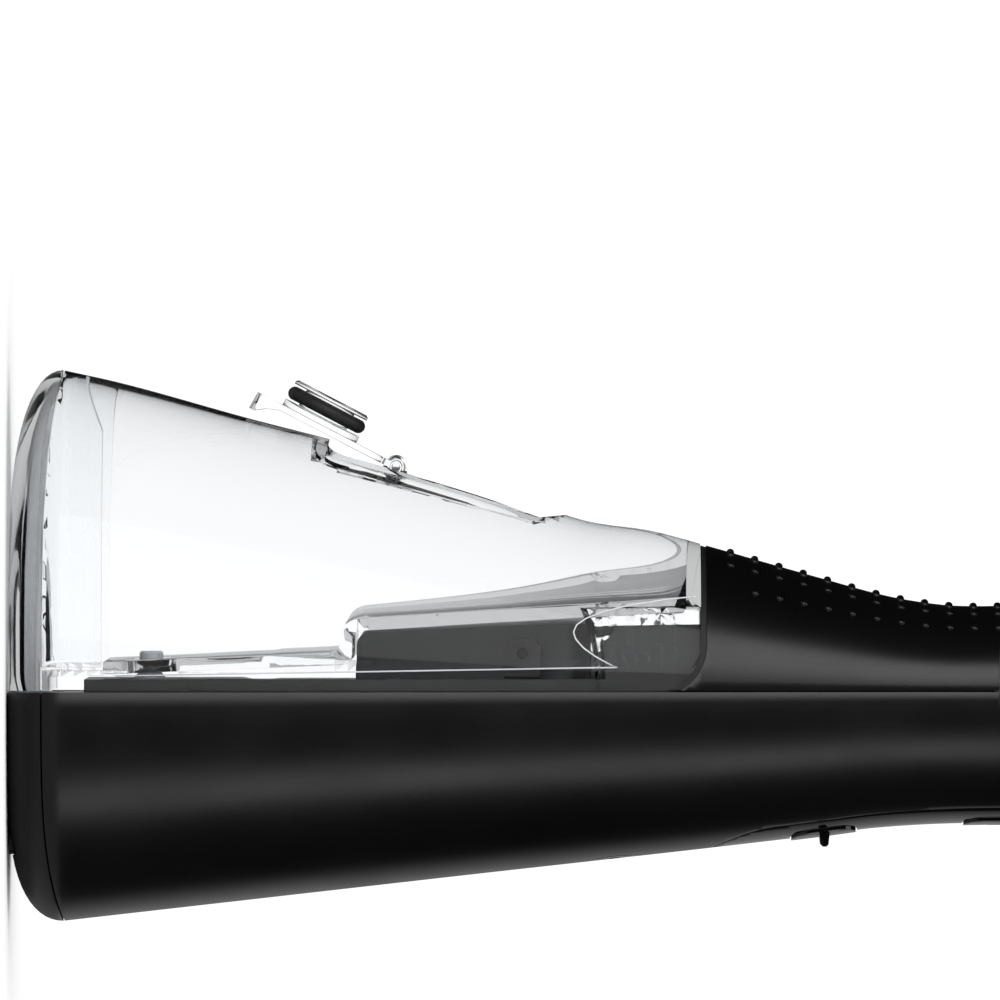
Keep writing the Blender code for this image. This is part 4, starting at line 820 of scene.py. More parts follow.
def make_front_housing():
    shell = front_shell("handle_front")
    cut(shell, below_seam("front_seam", -1, GAP))
    bed = prism("panel_bed", panel_outline(GAP), "Y", -FRONT_DEPTH - 5, -5)
    cut(bed, form("bed_floor", -1, PANEL_BED, PANEL_START - 20, HANDLE_TOP - 2, past=5))
    cut(shell, bed)
    cut(shell, front_opening(button_outline(PRESSURE_HALF, PRESSURE_Z, GAP)))
    cut(shell, front_opening(button_outline(POWER_HALF, POWER_Z, GAP)))
    cut(shell, front_hole(LENS_Z, 1.0 + GAP), front_hole(PORT_Z, PORT_RADIUS + GAP))
    cut(shell, prism("key_opening", eject_outline(GAP), "X", -40, -10))
    cut(shell, knob_opening())
    soften(shell)
    finish(shell, "handle", "satin_black", "front_housing")
    lip = form("parting_lip", 0, WALL + 0.1, 136, 203)
    cut(lip, form("parting_lip_inside", 0, WALL + 1.0, 130, 204))
    keep(lip, prism("parting_lip_reach", rounded_box((-1.5, 130), (1.5, 206), 0.4), "X", -60, 60))
    cut(lip, prism("parting_lip_end", rounded_box((-3, 181), (3, 208), 0.4), "X", -60, 0))
    finish(lip, "handle", "satin_black")


def make_base():
    cap = keep(front_shell("base_dish"), below_seam("base_seam", -1, 0))
    low, high = (-FOOT_HALF, FOOT_Y[0]), (FOOT_HALF, FOOT_Y[1])
    bed = rounded_box((low[0] - GAP, low[1] - GAP), (high[0] + GAP, high[1] + GAP), 2.2)
    cut(cap, prism("foot_bed", bed, "Z", -2, FOOT_BED))
    soften(cap)
    finish(cap, "handle", "satin_black", "base_cap")
    foot = prism("foot_strip", rounded_box(low, high, 2.1), "Z", 0, FOOT_BED - GAP)
    for x in (-8, -4, 0, 4, 8):
        groove = rounded_box((x - 0.5, FOOT_Y[0] + 0.9), (x + 0.5, FOOT_Y[1] - 0.9), 0.49)
        cut(foot, prism("foot_groove", groove, "Z", -1, 0.4))
    soften(foot, 0.0002)
    finish(foot, "handle", "black_rubber", "front_foot")


def make_rear_housing():
    start = TANK_END - TANK_CORNER - 2
    shell = form("handle_rear", 1, low=start, past=-GAP / 2)
    cut(shell, form("rear_inside", 1, WALL, TANK_END + WALL, past=5))
    cut(shell, prism("tank_seat", tank_side_outline(GASKET + GAP), "X", -50, 50))
    cut(shell, bulge_space("bulge_opening", GAP, WALL))
    cut(shell, prism("key_opening", eject_outline(GAP), "X", -40, -10))
    cut(shell, knob_opening())
    soften(shell)
    finish(shell, "handle", "satin_black", "rear_housing")


def rear_skin(z, x):
    """The point on the rear skin at this height and distance from the middle."""
    share = min(1.0, abs(x) / HALF_WIDTH(z))
    return Vector((x, REAR(z) * (1 - share**SECTION_POWER) ** (1 / SECTION_POWER), z))


def make_grip_dots():
    """Rows of small domes where the fingers hold."""
    sizes = bpy.context.scene.flosser_sizes
    bpy.ops.object.select_all(action="DESELECT")
    bpy.ops.mesh.primitive_uv_sphere_add(segments=14, ring_count=8, radius=1.0)
    dome = made("grip_dot")
    only(dome)
    bpy.ops.object.mode_set(mode="EDIT")
    bpy.ops.mesh.select_all(action="SELECT")
    bpy.ops.mesh.bisect(
        plane_co=(0, 0, -0.01), plane_no=(0, 0, 1), clear_inner=True, use_fill=True
    )
    bpy.ops.object.mode_set(mode="OBJECT")
    radius = sizes.dot_diameter / 2
    dome.data.transform(Matrix.Diagonal((radius, radius, sizes.dot_height, 1)))
    pitch = sizes.dot_pitch / MM
    spacing = sizes.dot_spacing / MM
    dots = []
    for row in range(-3, 4):
        for column in range(13):
            if abs(row) == 3 and column == 0:
                continue
            z = 133.6 + pitch * column
            x = row * spacing * HALF_WIDTH(z) / HALF_WIDTH(150)
            point = rear_skin(z, x)
            along = rear_skin(z + 0.1, x) - point
            across = rear_skin(z, x + 0.1) - point
            out = along.cross(across).normalized()
            out = out if out.y > 0 else -out
            turn = out.to_track_quat("Z", "X").to_matrix().to_4x4()
            dot = bpy.data.objects.new("grip_dot_copy", dome.data.copy())
            place = Matrix.Translation(world(*(point - out * 0.03)))
            dot.data.transform(place @ turn)
            bpy.context.scene.collection.objects.link(dot)
            dots.append(dot)
    bpy.data.objects.remove(dome)
    bpy.ops.object.select_all(action="DESELECT")
    for dot in dots:
        dot.select_set(True)
    bpy.context.view_layer.objects.active = dots[0]
    bpy.ops.object.join()
    grip = made("grip_dots")
    finish(grip, "handle", "satin_black", smooth_angle=60.0)


class FLOSSER_OT_handle(bpy.types.Operator):
    """Makes the front and rear housings, the base dish, its foot and the grip dots"""

    bl_idname = "flosser.handle"
    bl_label = "Handle"

    def execute(self, context):
        make_front_housing()
        make_base()
        make_rear_housing()
        make_grip_dots()
        return {"FINISHED"}


# ---- Controls -----------------------------------------------------------------------------------
def make_panel():
    panel = prism("gloss_panel", panel_outline(), "Y", -FRONT_DEPTH - 5, -5)
    keep(panel, form("panel_face", -1, 0, PANEL_START - 5, HANDLE_TOP - 5, past=5))
    cut(panel, form("panel_back", -1, PANEL_THICK, PANEL_START - 10, HANDLE_TOP - 2, past=6))
    cut(panel, front_opening(button_outline(PRESSURE_HALF, PRESSURE_Z, GAP)))
    cut(panel, front_opening(button_outline(POWER_HALF, POWER_Z, GAP)))
    cut(panel, front_hole(LENS_Z, 1.0 + GAP))
    soften(panel, 0.00032)
    finish(panel, "handle", "gloss_black", "control_panel")
    lens = rod("lamp_lens", (0, -60, LENS_Z), (0, 1 - GRIP_FRONT, LENS_Z), 1.0)
    keep(lens, form("lens_face", -1, 0, LENS_Z - 20, LENS_Z + 20, past=5))
    soften(lens, 0.00015)
    finish(lens, "handle", "tank_clear", "indicator_lens")


def button_body(name, half, span):
    key = prism(name, button_outline(half, span), "Y", -60, BUTTON_BACK)
    keep(key, form(name + "_face", -1, -BUTTON_PROUD, span[0] - 20, span[1] + 20, past=5))
    flange = button_outline(half, span, 1.4)
    join(key, prism(name + "_flange", flange, "Y", BUTTON_BACK - 1.2, BUTTON_BACK))
    return key


def make_buttons():
    key = button_body("power_key", POWER_HALF, POWER_Z)
    middle = sum(POWER_Z) / 2
    face = FRONT(middle) + BUTTON_PROUD
    dish = ring("power_mark", (0, -face, middle), 3.2, 0.3, (0, 1, 0))
    cut(key, dish)
    soften(key)
    finish(key, "power_button", "gloss_black", "power_button")
    key = button_body("pressure_key", PRESSURE_HALF, PRESSURE_Z)
    face = FRONT(RIB_Z) + BUTTON_PROUD
    outline = [(-face + 2, RIB_Z - 1.1), (-face + 2, RIB_Z + 1.1)]
    outline += [(-face - RIB_HEIGHT + 0.4, RIB_Z + 0.75), (-face - RIB_HEIGHT, RIB_Z + 0.35)]
    outline += [(-face - RIB_HEIGHT, RIB_Z - 0.35), (-face - RIB_HEIGHT + 0.4, RIB_Z - 0.75)]
    join(key, prism("pressure_rib", outline, "X", -RIB_HALF, RIB_HALF))
    soften(key)
    finish(key, "pressure_button", "gloss_black", "pressure_button")


def make_charge_port():
    face = FRONT(PORT_Z)
    disc = rod("charge_disc", (0, -60, PORT_Z), (0, 2.4 - face, PORT_Z), PORT_RADIUS)
    keep(disc, form("port_face", -1, 0, PORT_Z - 20, PORT_Z + 20, past=5))
    for side, x in (("left", -3.0), ("right", 3.0)):
        hole = rod("contact_hole", (x, -60, PORT_Z), (x, 0, PORT_Z), 1.0 + GAP)
        cut(disc, hole)
        dome = [(0, 0.0), (0.6, 0.05), (0.86, 0.2), (1.0, 0.5), (1.0, 3.5), (0, 3.5)]
        contact = turned("contact_" + side, dome, (x, 0.9 - face, PORT_Z), (0, 1, 0), 40)
        finish(contact, "handle", "turned_brass", "charge_contact_" + side)
    soften(disc, 0.00025)
    finish(disc, "handle", "gloss_black", "charge_port")


def make_release_key():
    """The side key, with grooves cut across its face for the thumb."""
    key = prism("release_key", eject_outline(), "X", -40, -13.5)
    keep(key, form("key_face", 0, -BUTTON_PROUD, EJECT_Z[0] - 20, EJECT_Z[1] + 3))
    inside = WALL + 2 * GAP
    flange = prism("key_flange", eject_outline(1.2), "X", -40, -12.5)
    keep(flange, form("flange_face", 0, inside, EJECT_Z[0] - 20, EJECT_Z[1] + 3))
    join(key, flange)
    cut(key, form("flange_back", 0, inside + 1.8, EJECT_Z[0] - 30, EJECT_Z[1] + 9))
    middle_z = sum(EJECT_Z) / 2
    middle_y = sum(EJECT_Y) / 2
    for i in range(-2, 3):
        z = middle_z + 2.2 * i
        start = (-HALF_WIDTH(z) - 0.55, middle_y - 3.6, z)
        cut(key, rod("key_groove", start, (start[0], middle_y + 3.6, z), 0.6, 20))
    post = [(-0.5, EJECT_Z[1] - 3), (5.5, EJECT_Z[1] - 3), (5.5, HANDLE_TOP - 9.3)]
    post.append((-0.5, HANDLE_TOP - 9.3))
    join(key, prism("key_post", post, "X", -18.0, -15.4))
    soften(key, 0.00025)
    finish(key, "eject_key", "key_grey", "eject_button")


class FLOSSER_OT_controls(bpy.types.Operator):
    """Makes the gloss panel, its two buttons, the charging disc and the release key"""

    bl_idname = "flosser.controls"
    bl_label = "Controls"

    def execute(self, context):
        make_panel()
        make_buttons()
        make_charge_port()
        make_release_key()
        return {"FINISHED"}


# ---- Tank ---------------------------------------------------------------------------------------
def floor_top(z):
    """Height of the tank floor's upper face over the parting plane."""
    if z <= FLOOR_STEP:
        return mix(*FLOOR_LOW, (z - FLOOR_START) / (FLOOR_STEP - FLOOR_START))
    share = (z - FLOOR_STEP_END) / (TANK_END - END_WALL - FLOOR_STEP_END)
    return mix(*FLOOR_HIGH, share)


def tank_side_outline(grow):
    """The tank's side view near its upper end, whose corner at the parting plane is round."""
    end = TANK_END - GAP - GASKET + grow
    radius = TANK_CORNER + grow
    corner = arc((TANK_CORNER, TANK_END - GAP - GASKET - TANK_CORNER), radius, 90, 180, 24)
    return [(90, -20), (90, end), *corner, (corner[-1][0], -20)]


def door_point(along, out):
    """(Y, Z) of a point given along the closed door from its hinge, and out from its face."""
    y = DOOR_AXIS_Y - along * math.sin(DOOR_TILT) + out * math.cos(DOOR_TILT)
    z = DOOR_AXIS_Z + along * math.cos(DOOR_TILT) + out * math.sin(DOOR_TILT)
    return (y, z)


def door_prism(name, outline, half):
    return prism(name, [door_point(*point) for point in outline], "X", -half, half)


def door_plan(name, low, high, radius):
    """A rounded column square to the closed door, over a plan in X and along the door."""
    bpy.ops.object.select_all(action="DESELECT")
    outline = rounded_box(low, high, radius)
    bpy.ops.mesh.primitive_circle_add(vertices=len(outline), fill_type="NGON")
    obj = made(name)
    for vertex, (x, along) in zip(obj.data.vertices, outline):
        vertex.co = world(x, *door_point(along, -15))
    step = world(0, *door_point(0, 15)) - world(0, *door_point(0, -15))
    bpy.ops.object.mode_set(mode="EDIT")
    bpy.ops.mesh.select_all(action="SELECT")
    bpy.ops.mesh.extrude_region_move(TRANSFORM_OT_translate={"value": step})
    bpy.ops.object.mode_set(mode="OBJECT")
    return close_up(obj)


def pocket(name, grow):
    """The seat of the filling door: a tilted well whose far end runs out in a ramp."""
    floor = -POCKET_FLOOR - grow
    back = -POCKET_BACK - grow
    near, far = POCKET_RAMP
    outline = [(back, 9), (back, floor + 1), (back + 0.3, floor + 0.3), (back + 1, floor)]
    outline += [(near, floor), (far + grow, 0.8), (far + grow, 9)]
    well = door_prism(name, outline, POCKET_HALF + grow)
    low = (-POCKET_HALF - grow, back)
    return keep(well, door_plan(name + "_plan", low, (POCKET_HALF + grow, far + grow), 3.4 + grow))


def door_ears():
    ears = []
    radius = KNUCKLE + 0.6
    for side in (-1, 1):
        inner = KNUCKLE_HALF + GAP
        root = -POCKET_FLOOR - 0.5
        outline = arc((0, 0), radius, 0, 180) + [(-radius, root), (radius, root)]
        points = [door_point(*point) for point in outline]
        ends = sorted((side * inner, side * (inner + EAR_THICK)))
        ears.append(prism("door_ear", points, "X", *ends))
    return ears


def make_tank_shell():
    end = TANK_END - GAP - GASKET
    shell = form("tank_body", 1, high=end, past=-GAP / 2)
    cut(shell, below_seam("tank_seam", 1, GAP))
    water = form("tank_hollow", 1, TANK_WALL, high=end - END_WALL, past=-RIM_FLANGE)
    flange_top = RIM_FLANGE + RIM_RISE
    rim = [(-5, -5), (RIM_FLANGE, -5), (flange_top, end - END_WALL + 1), (-5, end - END_WALL + 1)]
    cut(water, prism("tank_rim_flange", rim, "X", -60, 60))
    cut(water, pocket("door_seat_wall", POCKET_WALL))
    cut(shell, water)
    cut(shell, form("tank_rim", 1, TANK_WALL + RIM_EXTRA, high=end - END_WALL, past=5))
    keep(shell, prism("tank_outline", tank_side_outline(0), "X", -60, 60))
    cut(shell, bulge_space("bulge_room", BULGE_CLEAR + FLOOR_THICK + GAP, TANK_WALL))
    cut(shell, pocket("door_seat", 0))
    join(shell, *door_ears())
    low = (0, *door_point(PLUG_REACH, -9))
    cut(shell, rod("fill_hole", low, (0, *door_point(PLUG_REACH, 6)), FILL_HOLE, 72))
    pin_half = KNUCKLE_HALF + GAP + EAR_THICK + 1
    axis = (DOOR_AXIS_Y, DOOR_AXIS_Z)
    cut(shell, rod("pin_hole", (-pin_half, *axis), (pin_half, *axis), PIN_RADIUS + GAP, 32))
    soften(shell, 0.00035, segments=3)
    finish(shell, "tank", "tank_clear", "tank_shell")
    pin = rod("hinge_pin", (-pin_half + 1, *axis), (pin_half - 1, *axis), PIN_RADIUS, 32)
    soften(pin, 0.00015)
    finish(pin, "tank", "bright_steel", "door_hinge_pin")


def make_tank_cap():
    cap = form("tank_end", 1, past=-GAP / 2, high=LIP_Z)
    keep(cap, below_seam("tank_cap_seam", 1, 0))
    join(cap, form("tank_lip", 1, TANK_WALL + GAP, high=LIP_Z, past=-RIM_FLANGE - RIM_RISE))
    cut(cap, form("tank_cap_hollow", 1, TANK_WALL + GAP + LIP_WALL, high=LIP_Z + 2, past=5))
    bow = [(20, LIP_Z + 3), (REAR_DEPTH - 12, LIP_Z), (REAR_DEPTH - 5, LIP_Z - 3)]
    bow += [(REAR_DEPTH + 5, SEAM_FRONT + 1.5), (REAR_DEPTH + 5, LIP_Z + 3)]
    cut(cap, prism("tank_lip_bow", bow, "X", -60, 60))
    soften(cap, 0.0003)
    finish(cap, "tank", "cap_clear", "tank_cap")


def make_tank_floor():
    end = TANK_END - GAP - GASKET - END_WALL - GAP
    low, high = floor_top(FLOOR_STEP), floor_top(FLOOR_STEP_END)
    step = FLOOR_STEP
    start = LIP_Z + GAP
    thick = FLOOR_THICK
    top = [(floor_top(start), start), (low, step - 1.2)]
    top += [(low + 0.15, step - 0.3), (low + 0.6, step + 0.5), (low + 1.6, step + 0.9)]
    top += [(high - 3.2, step + 1.0), (high - 2.0, step + 1.3), (high - 1.1, step + 1.9)]
    top += [(high - 0.45, step + 2.9), (high - 0.1, step + 4.0), (high, FLOOR_STEP_END)]
    top += [(floor_top(end), end)]
    low -= thick
    high -= thick
    under = [(floor_top(start) - thick, start), (low, step + 1.3), (low + 0.2, step + 2.2)]
    under += [(low + 0.9, step + thick + 0.8), (low + 2, step + thick + 1)]
    under += [(high - 1.4, step + thick + 1), (high - 0.5, step + thick + 1.7)]
    under += [(high, step + thick + 3.4), (floor_top(end) - thick, end)]
    plate = prism("tank_bottom", top + under[::-1], "X", -60, 60)
    keep(plate, form("tank_bottom_reach", 1, TANK_WALL + GAP, 5, TANK_END, past=5))
    edge = [(-5, 0), (RIM_FLANGE + GAP, 0), (RIM_FLANGE + RIM_RISE + GAP, end + 1), (-5, end + 1)]
    trim = prism("floor_edge", edge, "X", -60, 60)
    cut(trim, form("floor_edge_inside", 1, TANK_WALL + RIM_EXTRA + GAP, 4, TANK_END, past=6))
    cut(plate, trim)
    cut(plate, rod("inlet_port", (0, 0, INLET_Z), (0, 12, INLET_Z), 4.6))
    soften(plate, 0.0003)
    finish(plate, "tank", "tank_clear", "tank_floor")


def inner_point(y, z, inset):
    """A point inside the tank's left wall, moved in from its skin."""
    side = (1 - (y / REAR(z)) ** SECTION_POWER) ** (1 / SECTION_POWER)
    return (-HALF_WIDTH(z) * side + inset, y, z)


def make_painted_highlight_line():
    """A thin light-grey tube inside the tank's left wall that paints the highlight line of the flare's edge
    seen through the clear plastic; it runs along the rim, turns back at its end and rises to the seal.
    """
    run = [(mix(2.9, 4.4, i / 24), mix(20.0, 112.5, i / 24), 2.9) for i in range(25)]
    back = [(4.9, 111.2, 2.2), (6.3, 108.6, 2.0), (8.0, 106.2, 1.95), (9.6, 104.8, 1.95)]
    rise = [(10.9, 104.4, 1.95), (12.2, 105.0, 1.95), (13.4, 106.8, 1.95), (14.6, 110.0, 1.95)]
    rise += [(15.8, 115.0, 1.95), (16.7, 121.0, 1.95), (17.3, 127.0, 1.95)]
    points = [inner_point(*station) for station in run + back + rise]
    highlight_tube = tube("rim_bead", points, [0.14] * len(points), 10)
    # The tube's light grey is a painted highlight line, not a moulded feature of the tank.
    finish(highlight_tube, "tank", "frosted", smooth_angle=60.0, slot="clear_plastic")


def make_gasket():
    end = TANK_END - GAP - GASKET
    middle = (TANK_CORNER, end - TANK_CORNER)
    outer = TANK_CORNER + GASKET + GAP * 0.9
    inner = TANK_CORNER + GAP * 0.1
    outline = [(60, end - TANK_CORNER + outer), *arc(middle, outer, 90, 180, 24)]
    outline += [*arc(middle, inner, 180, 90, 24), (60, end - TANK_CORNER + inner)]
    band = prism("tank_seal", outline, "X", -50, 50)
    keep(band, form("seal_reach", 1, 0.3, end - TANK_CORNER - 4, TANK_END + 4, past=-GAP))
    cut(band, bulge_space("seal_bulge", GAP, WALL))
    finish(band, "tank", "black_rubber", "tank_gasket")


def opened(obj):
    """Swings a piece made in the closed place round the hinge to the open rest."""
    axis = world(0, DOOR_AXIS_Y, DOOR_AXIS_Z)
    swing = Matrix.Translation(axis) @ Matrix.Rotation(-DOOR_OPEN, 4, "X")
    obj.data.transform(swing @ Matrix.Translation(-axis))
    return obj


def make_door():
    half = DOOR_PLATE / 2
    tip = DOOR_LENGTH
    lip = half + DOOR_LIP
    outline = [(KNUCKLE + 1.2, -half), (tip, -half), (tip + 0.2, lip), (tip - 0.8, lip)]
    outline += [(tip - 2.6, half + 0.9), (tip - 5.0, half), (KNUCKLE + 1.2, half)]
    plate = door_prism("door_plate", outline, DOOR_HALF)
    plan_low = (-DOOR_HALF, KNUCKLE + 1.0)
    keep(plate, door_plan("door_plan", plan_low, (DOOR_HALF, tip + 0.3), 2.4))
    root = KNUCKLE + 3
    neck = [(0, -half), (root, -half), (root, half), (0, half)]
    join(plate, door_prism("door_neck", neck, KNUCKLE_HALF))
    axis = (DOOR_AXIS_Y, DOOR_AXIS_Z)
    join(plate, rod("door_knuckle", (-KNUCKLE_HALF, *axis), (KNUCKLE_HALF, *axis), KNUCKLE))
    shelf = -half - PLUG_NECK
    groove = DOOR_RING_RADIUS - 2 * DOOR_RING_WIRE - GAP
    foot = shelf - 2 * DOOR_RING_WIRE - 2 * GAP
    edge = PLUG_RADIUS - 0.2
    top = -half + 0.5
    profile = [(0, top), (PLUG_RADIUS, top), (PLUG_RADIUS, shelf), (groove, shelf)]
    profile += [(groove, foot), (edge, foot), (edge, foot - PLUG_DISC * 0.6)]
    profile += [(edge - 0.4, foot - PLUG_DISC), (0, foot - PLUG_DISC)]
    out = (0, math.cos(DOOR_TILT), math.sin(DOOR_TILT))
    middle = (0, *door_point(PLUG_REACH, 0))
    join(plate, turned("door_plug", profile, middle, out, 72))
    cut(plate, rod("door_pin_hole", (-9, *axis), (9, *axis), PIN_RADIUS + GAP, 32))
    soften(plate, 0.0002)
    finish(opened(plate), "fill_door", "door_clear", "fill_door")
    seal_place = (0, *door_point(PLUG_REACH, (shelf + foot) / 2))
    seal = ring("plug_seal", seal_place, DOOR_RING_RADIUS - DOOR_RING_WIRE, DOOR_RING_WIRE, out)
    finish(opened(seal), "fill_door", "black_rubber", "fill_door_o_ring")


class FLOSSER_OT_tank(bpy.types.Operator):
    """Makes the clear tank: body, end cap, stepped floor, seal and the open filling door"""

    bl_idname = "flosser.tank"
    bl_label = "Tank"

    def execute(self, context):
        make_tank_shell()
        make_tank_cap()
        make_tank_floor()
        make_painted_highlight_line()
        make_gasket()
        make_door()
        return {"FINISHED"}


# ---- Deck ---------------------------------------------------------------------------------------
def bulge(name, grow):
    """The raised cover of the pump, which flares to the body's full width at its upper end."""
    start = FLOOR_STEP + FLOOR_THICK + 1 + BULGE_CLEAR - grow
    clear = FLOOR_THICK + BULGE_CLEAR - grow
    face = floor_top(FLOOR_STEP_END) - clear
    corner = arc((face - 2.5, start + 2.5), 2.5, 270, 360, 8)
    top = floor_top(TANK_END - END_WALL) - clear - 1.7
    side = [(-18, start), *corner, (mix(face, top, 0.75), 100), (top, DECK_END + 1)]
    side.append((-18, DECK_END + 1))
    half = BULGE_HALF + grow
    wide = BASE_WIDTH
    flare = [(half, FLARE_START), (half + 0.9, FLARE_START + 2), (half + 3, FLARE_START + 4.5)]
    flare += [(half + 5.6, FLARE_START + 7), (half + 9, FLARE_END - 2), (wide, FLARE_END + 2)]
    plan = [(-half, start - 1), (half, start - 1), *flare, (wide, DECK_END + 2)]
    plan += [(-wide, DECK_END + 2)] + [(-x, z) for x, z in flare[::-1]]
    raised = prism(name, side, "X", -60, 60)
    return keep(raised, prism(name + "_plan", plan, "Y", -20, 40))


def bulge_space(name, grow, inset):
    """Room for the bulge inside a shell whose skin stays whole."""
    reach = form(name + "_reach", 1, inset, FLOOR_STEP, DECK_END + 2, past=19)
    return keep(bulge(name, grow), reach)


def make_deck():
    plate = [(DECK_UNDER, 0), (-GAP, 0), (-GAP, DECK_START), (DECK_TOP, DECK_START)]
    plate += [(DECK_TOP, DECK_END), (DECK_UNDER, DECK_END)]
    deck = prism("pump_deck", plate, "X", -60, 60)
    join(deck, bulge("deck_bulge", 0))
    keep(deck, form("deck_reach_low", -1, WALL + GAP, high=DECK_END, past=30))
    inset = TANK_WALL + RIM_EXTRA + 2 * GAP
    keep(deck, form("deck_reach", 0, inset, 0, high=DECK_END))
    lower = [(-40, 0), (DECK_UNDER, 0), (DECK_UNDER, DECK_END + 5), (-40, DECK_END + 5)]
    cut(deck, prism("deck_under", lower, "X", -60, 60))
    hollow = bulge("deck_hollow", -BULGE_WALL)
    keep(hollow, form("deck_hollow_reach", 0, WALL + GAP + BULGE_WALL, 0, high=DECK_END + 9))
    cut(deck, hollow)
    cut(deck, rod("inlet_seat", (0, -5, INLET_Z), (0, 5, INLET_Z), 3.0 + GAP))
    for x, z in SCREWS:
        cut(deck, rod("screw_hole", (x, -5, z), (x, 30, z), 1.2 + GAP, 24))
        cut(deck, rod("screw_sink", (x, 0.6, z), (x, 30, z), 2.4 + GAP, 32))
    soften(deck, 0.0003)
    finish(deck, "handle", "deck_black", "deck")


def make_clips():
    """Side catches for the tank, each with a round eye."""
    for side in ("left", "right"):
        low, high = (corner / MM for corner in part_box("tank_clip_" + side))
        outline = [(low.y - PARTING_Y, CLIP_Z[0]), (low.y - PARTING_Y, CLIP_Z[1])]
        top = high.y - PARTING_Y
        outline += [(top - 1.2, CLIP_Z[1]), (top, CLIP_Z[1] - 1.2), (top, CLIP_Z[0] + 1.2)]
        outline += [(top - 1.2, CLIP_Z[0])]
        clip = prism("clip_" + side, outline, "X", low.x, high.x)
        eye = (top - 2.6, sum(CLIP_Z) / 2)
        cut(clip, rod("clip_eye", (low.x - 1, *eye), (high.x + 1, *eye), 1.0, 32))
        soften(clip, 0.00025)
        finish(clip, "handle", "gloss_black", "tank_clip_" + side)


def make_deck_fittings():
    for i, (x, z) in enumerate(SCREWS):
        top = DECK_TOP - 0.1
        profile = [(0, top), (1.7, top), (2.1, top - 0.2), (2.3, 0.9), (0.95, 0.9)]
        profile += [(0.95, -8.5), (0, -8.5)]
        screw = turned(f"pan_screw_{i + 1}", profile, (x, 0, z), (0, 1, 0), 40)
        for turn in (0, 90):
            arm = math.radians(turn)
            reach = (1.2 * math.cos(arm), 1.2 * math.sin(arm))
            start = (x - reach[0], top + 0.05, z - reach[1])
            cut(screw, rod("screw_cross", start, (x + reach[0], top + 0.05, z + reach[1]), 0.35, 12))
        finish(screw, "handle", "bright_steel", f"deck_screw_{i + 1}")
    spout = [(1.4, 5.2), (1.9, 5.2), (2.2, 4.8), (2.2, 1.2), (3.0, 0.6), (3.0, -3.6), (1.4, -3.6)]
    place = (0, DECK_TOP - 0.4, INLET_Z)
    nipple = turned("inlet_spout", spout, place, (0, 1, 0), closed=True)
    finish(nipple, "handle", "key_grey", "inlet_nipple")
    seal = ring("spout_seal", (0, DECK_TOP + 2.2, INLET_Z), 3.4, 0.8, (0, 1, 0))
    finish(seal, "handle", "black_rubber", "inlet_o_ring")


class FLOSSER_OT_deck(bpy.types.Operator):
    """Makes the black deck over the pump, with its catches, screws and inlet"""

    bl_idname = "flosser.deck"
    bl_label = "Deck"

    def execute(self, context):
        make_deck()
        make_clips()
        make_deck_fittings()
        return {"FINISHED"}


# ---- Head ---------------------------------------------------------------------------------------
def knob_flute(radius, height, angle):
    """Depth of the grooves round the knob's side, fading out at its rims."""
    if radius < KNOB_RADIUS - 2:
        return 0.0
    sizes = bpy.context.scene.flosser_sizes
    fade = max(0.0, min(1.0, height - 1.6, (KNOB_HEIGHT - 2.6 - height) / 1.2))
    wave = 0.5 + 0.5 * math.cos(sizes.flutes * angle)
    return sizes.flute_depth / MM * fade * wave**3


def make_knob():
    hole = TIP_RADIUS + 1.6
    bore = SOCKET_RADIUS + 0.4
    side = [(mix(KNOB_RADIUS - 1.2, KNOB_RADIUS, i / 8), mix(KNOB_HEIGHT - 2.4, 1.0, i / 8)) for i in range(9)]
    knob = [(hole, KNOB_HEIGHT - 0.3), (hole + 0.3, KNOB_HEIGHT)]
    knob += [(KNOB_RADIUS - 4, KNOB_HEIGHT), (KNOB_RADIUS - 2.7, KNOB_HEIGHT - 0.3)]
    knob += [(KNOB_RADIUS - 1.7, KNOB_HEIGHT - 1.1), *side]
    knob += [(KNOB_RADIUS - 0.1, 0.4), (KNOB_RADIUS - 0.6, 0), (SPIGOT_RADIUS, 0)]
    knob += [(SPIGOT_RADIUS, -4.2), (bore, -4.2), (bore, 7.0), (hole, 7.0)]
    place = (0, HEAD_Y, HANDLE_TOP + 0.6)
    collar = turned("turning_collar", knob, place, steps=360, closed=True, flute=knob_flute)
    finish(collar, "knob", "satin_black", "tip_knob")


